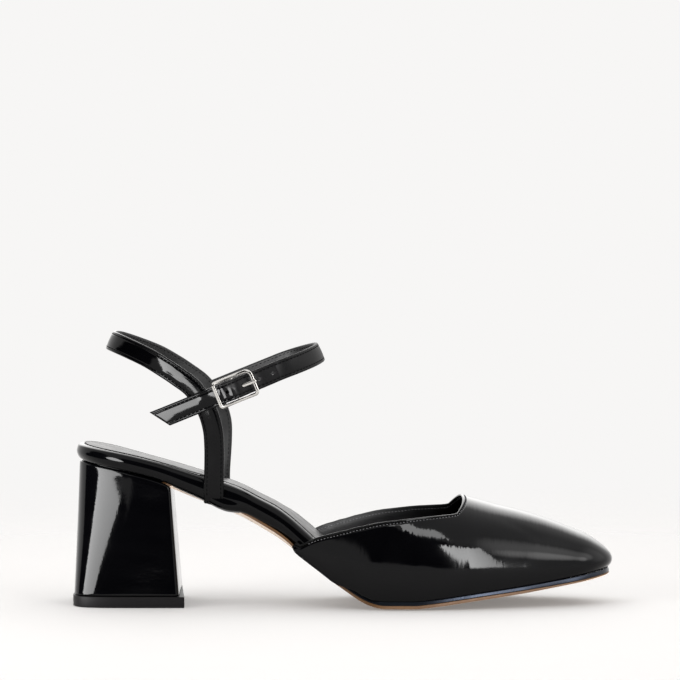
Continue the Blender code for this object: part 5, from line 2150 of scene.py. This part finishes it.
@dataclass
class Studio:
    """Pale floor and an even white room with softboxes, open and dark on the camera's side."""

    paper: str = "#6e6d6c"
    paper_roughness: float = 0.9
    paper_specular: float = 0.1
    floor_segments: int = 96
    walls: str = "#fffefd"
    watts_to_radiance: float = 4.0
    backdrop: float = 0.93
    room: float = 1.0
    glows: tuple[WallPatch, ...] = (
        WallPatch(50.0, 20.0, 0.0, 11.0, 4.7),
        WallPatch(58.0, 30.0, 0.0, 22.0, 2.9),
        WallPatch(90.0, 28.0, 0.0, 34.0, 1.0),
        WallPatch(182.0, 28.0, 6.0, 30.0, 2.3),
    )
    shades: tuple[WallPatch, ...] = (
        WallPatch(8.0, 7.0, 29.5, 33.0),
        WallPatch(-66.0, 12.0, 27.0, 35.0),
        WallPatch(-98.0, 2.0, 10.0, 15.0),
        WallPatch(-32.0, 15.0, 10.0, 12.5),
    )
    ground: WallPatch = WallPatch(-8.0, -58.0, 58.2, 59.4)
    floor_fade: Span = (0.17, 0.66)
    camera_place: Point = (-0.001348, -2.5, 0.259)
    camera_down: float = 3.248
    focal_pixels: float = 5633.75
    sensor: float = 36.0
    clip_start: float = 0.05
    softboxes: tuple[Softbox, ...] = (
        Softbox(
            "left_light", -55.9, 14.1, 35.0, 28.0, (20.0, 13.0), roll=22.0,
            only_for=("heel_wrap", "heel_lift", "studio_floor"),
        ),
        Softbox(
            "rim_light", -26.0, 16.0, 38.0, 26.0, (14.0, 14.0), oval=True,
            only_for=("footbed_rim",), seen_from=(-0.101, -0.0227, 0.066), distance=0.15,
        ),
        Softbox(
            "right_light", 31.8, 13.2, 15.0, 31.0, (22.0, 12.0), roll=7.0,
            only_for=("vamp_shell", "black_midsole", "tan_outsole", "studio_floor"),
        ),
        Softbox("upper_light", 18.5, 44.0, 19.0, 11.0, (9.0, 9.0), roll=5.0, only_for=("vamp_shell",)),
        Softbox(
            "strap_light", -13.0, 7.0, 22.0, 18.0, (22.0, 15.0),
            only_for=("heel_strap_band", "ankle_strap_band"),
        ),
        Softbox(
            "buckle_light", -48.0, -12.0, 16.0, 26.0, (16.0, 16.0),
            only_for=("ankle_strap_band",), shaded_by=("ankle_strap_band",),
        ),
        Softbox(
            "sole_light", -5.0, -30.0, 60.0, 30.0, (2.4, 2.4),
            only_for=("tan_outsole",), shaded_by=("tan_outsole",),
        ),
        Softbox(
            "floor_light", 180.0, 55.0, 90.0, 50.0, (4.2, 4.2),
            only_for=("studio_floor",), shaded_by=("black_midsole", "heel_lift"),
        ),
        Softbox(
            "floor_fill", 0.0, 75.0, 90.0, 60.0, (5.2, 5.2),
            only_for=("studio_floor",), shaded_by=("prong_pin",),
        ),
    )

    def build_floor(self) -> None:
        """Lay the pale floor, which fades out into the backdrop away from the shoe."""
        shape = bmesh.new()
        start, end = self.floor_fade
        bmesh.ops.create_circle(shape, cap_ends=True, segments=self.floor_segments, radius=end)
        made, tree, shader, coords = start_finish("studio_paper")
        paper = {"Base Color": linear(self.paper), "Roughness": self.paper_roughness}
        set_inputs(tree, shader, {**paper, "Specular IOR Level": self.paper_specular})
        away = add_node(tree, "ShaderNodeVectorMath", {0: coords}, operation="LENGTH").outputs["Value"]
        span = {0: away, 1: start, 2: end}
        fade = add_node(tree, "ShaderNodeMapRange", span, interpolation_type="SMOOTHSTEP").outputs[0]
        clear = add_node(tree, "ShaderNodeBsdfTransparent").outputs[0]
        mixed = add_node(tree, "ShaderNodeMixShader", {0: fade, 1: shader.outputs[0], 2: clear})
        set_inputs(tree, tree.nodes["Material Output"], {"Surface": mixed.outputs[0]})
        floor = keep_shape("studio_floor", shape, [made])

    def wall_share(self, tree: NodeTree, looking: Socket, patch: WallPatch, inside: float) -> Socket:
        """Tell a patch of the walls from the rest.

        Args:
            tree: Node tree of the world.
            looking: Direction that is looked in.
            patch: The patch.
            inside: Value within the patch, 1 or 0.

        Returns:
            Socket that goes from the other value to this one.
        """
        axis = direction(patch.azimuth, patch.elevation)
        toward = add_node(tree, "ShaderNodeVectorMath", {0: looking, 1: axis}, operation="DOT_PRODUCT")
        edge, core = math.cos(math.radians(patch.reach)), math.cos(math.radians(patch.even))
        span = {0: toward.outputs["Value"], 1: edge, 2: core, 3: 1.0 - inside, 4: inside}
        return add_node(tree, "ShaderNodeMapRange", span, interpolation_type="SMOOTHSTEP").outputs[0]

    def build_world(self) -> None:
        """Light the scene from all round: white walls and ground, dark round the camera."""
        world = bpy.data.worlds.new("studio")
        bpy.context.scene.world = world
        world.use_nodes = True
        tree = world.node_tree
        looking = add_node(tree, "ShaderNodeTexCoord").outputs["Generated"]
        level = self.room
        for glow in self.glows:
            sums = {0: self.wall_share(tree, looking, glow, 1.0), 1: glow.radiance, 2: level}
            level = add_node(tree, "ShaderNodeMath", sums, operation="MULTIPLY_ADD").outputs[0]
        for shade in self.shades:
            shares = {0: level, 1: self.wall_share(tree, looking, shade, 0.0)}
            level = add_node(tree, "ShaderNodeMath", shares, operation="MULTIPLY").outputs[0]
        paving = {0: self.wall_share(tree, looking, self.ground, 1.0), 2: level, 3: self.room}
        level = add_node(tree, "ShaderNodeMix", paving, data_type="FLOAT").outputs[0]
        seen = add_node(tree, "ShaderNodeLightPath").outputs["Is Camera Ray"]
        shown = add_node(tree, "ShaderNodeMix", {0: seen, 2: level, 3: self.backdrop}, data_type="FLOAT")
        lit = {"Strength": shown.outputs[0], "Color": linear(self.walls)}
        set_inputs(tree, tree.nodes["Background"], lit)

    def build_lights(self) -> None:
        """Hang the softboxes in a ring round the shoe, with the power that their radiance takes."""
        for box in self.softboxes:
            light = bpy.data.lights.new(box.name, "AREA")
            light.shape = "ELLIPSE" if box.oval else "RECTANGLE"
            light.size = 2 * box.distance * math.tan(math.radians(box.breadth / 2))
            light.size_y = 2 * box.distance * math.tan(math.radians(box.height / 2))
            brightest = max(box.radiance)
            light.energy = self.watts_to_radiance * light.size * light.size_y * brightest
            if box.radiance[0] != box.radiance[1]:
                light.use_nodes = True
                tree = light.node_tree
                place = add_node(tree, "ShaderNodeNewGeometry").outputs["Parametric"]
                along = add_node(tree, "ShaderNodeSeparateXYZ", {0: place}).outputs[0]
                first, last = (radiance / brightest for radiance in box.radiance)
                level = add_node(tree, "ShaderNodeMapRange", {0: along, 3: first, 4: last})
                set_inputs(tree, tree.nodes["Emission"], {"Strength": level.outputs[0]})
            made = bpy.data.objects.new(box.name, light)
            outward = direction(box.azimuth, box.elevation)
            turn = outward.to_track_quat("Z", "Y") @ Quaternion((0.0, 0.0, 1.0), math.radians(box.roll))
            made.location = Vector(box.seen_from) + outward * box.distance
            made.rotation_euler = turn.to_euler()
            made.visible_camera = False
            bpy.context.scene.collection.objects.link(made)
            if box.only_for:
                made.light_linking.receiver_collection = self.group(f"{box.name}_lit", box.only_for)
            if box.shaded_by:
                made.light_linking.blocker_collection = self.group(f"{box.name}_shaded_by", box.shaded_by)

    def group(self, name: str, pieces: Sequence[str]) -> bpy.types.Collection:
        """Gather pieces for the links of a light.

        Args:
            name: Name of the collection.
            pieces: Names of the pieces.

        Returns:
            The collection.
        """
        made = bpy.data.collections.new(name)
        for piece in pieces:
            made.objects.link(bpy.data.objects[piece])
        return made

    def build_camera(self) -> None:
        """Put the camera where the photograph was taken from."""
        camera = bpy.data.cameras.new("camera")
        camera.sensor_width = self.sensor
        camera.lens = self.focal_pixels / PHOTO_PIXELS * self.sensor
        camera.clip_start = self.clip_start
        made = bpy.data.objects.new("camera", camera)
        made.location = self.camera_place
        made.rotation_euler = (math.radians(90.0 - self.camera_down), 0.0, 0.0)
        bpy.context.scene.collection.objects.link(made)
        bpy.context.scene.camera = made

    def build(self) -> None:
        """Set up the whole studio."""
        bpy.context.scene.view_settings.view_transform = "Standard"
        self.build_camera()
        self.build_floor()
        self.build_world()
        self.build_lights()


def main() -> None:
    """Load the shoe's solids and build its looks."""
    logging.basicConfig(level=logging.INFO, format="%(name)s: %(message)s")
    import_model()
    finishes = Finishes()
    last = Last()
    ankle = Ankle()
    plan = BucklePlan(ankle)
    Heel(last, finishes).build()
    Sole(last, finishes).build()
    Footbed(last, finishes).build()
    Vamp(last, finishes).build()
    HeelStrap(ankle, finishes).build()
    AnkleStrap(plan, finishes).build()
    Buckle(plan, finishes).build()
    Studio().build()


if __name__ == "__main__":
    main()
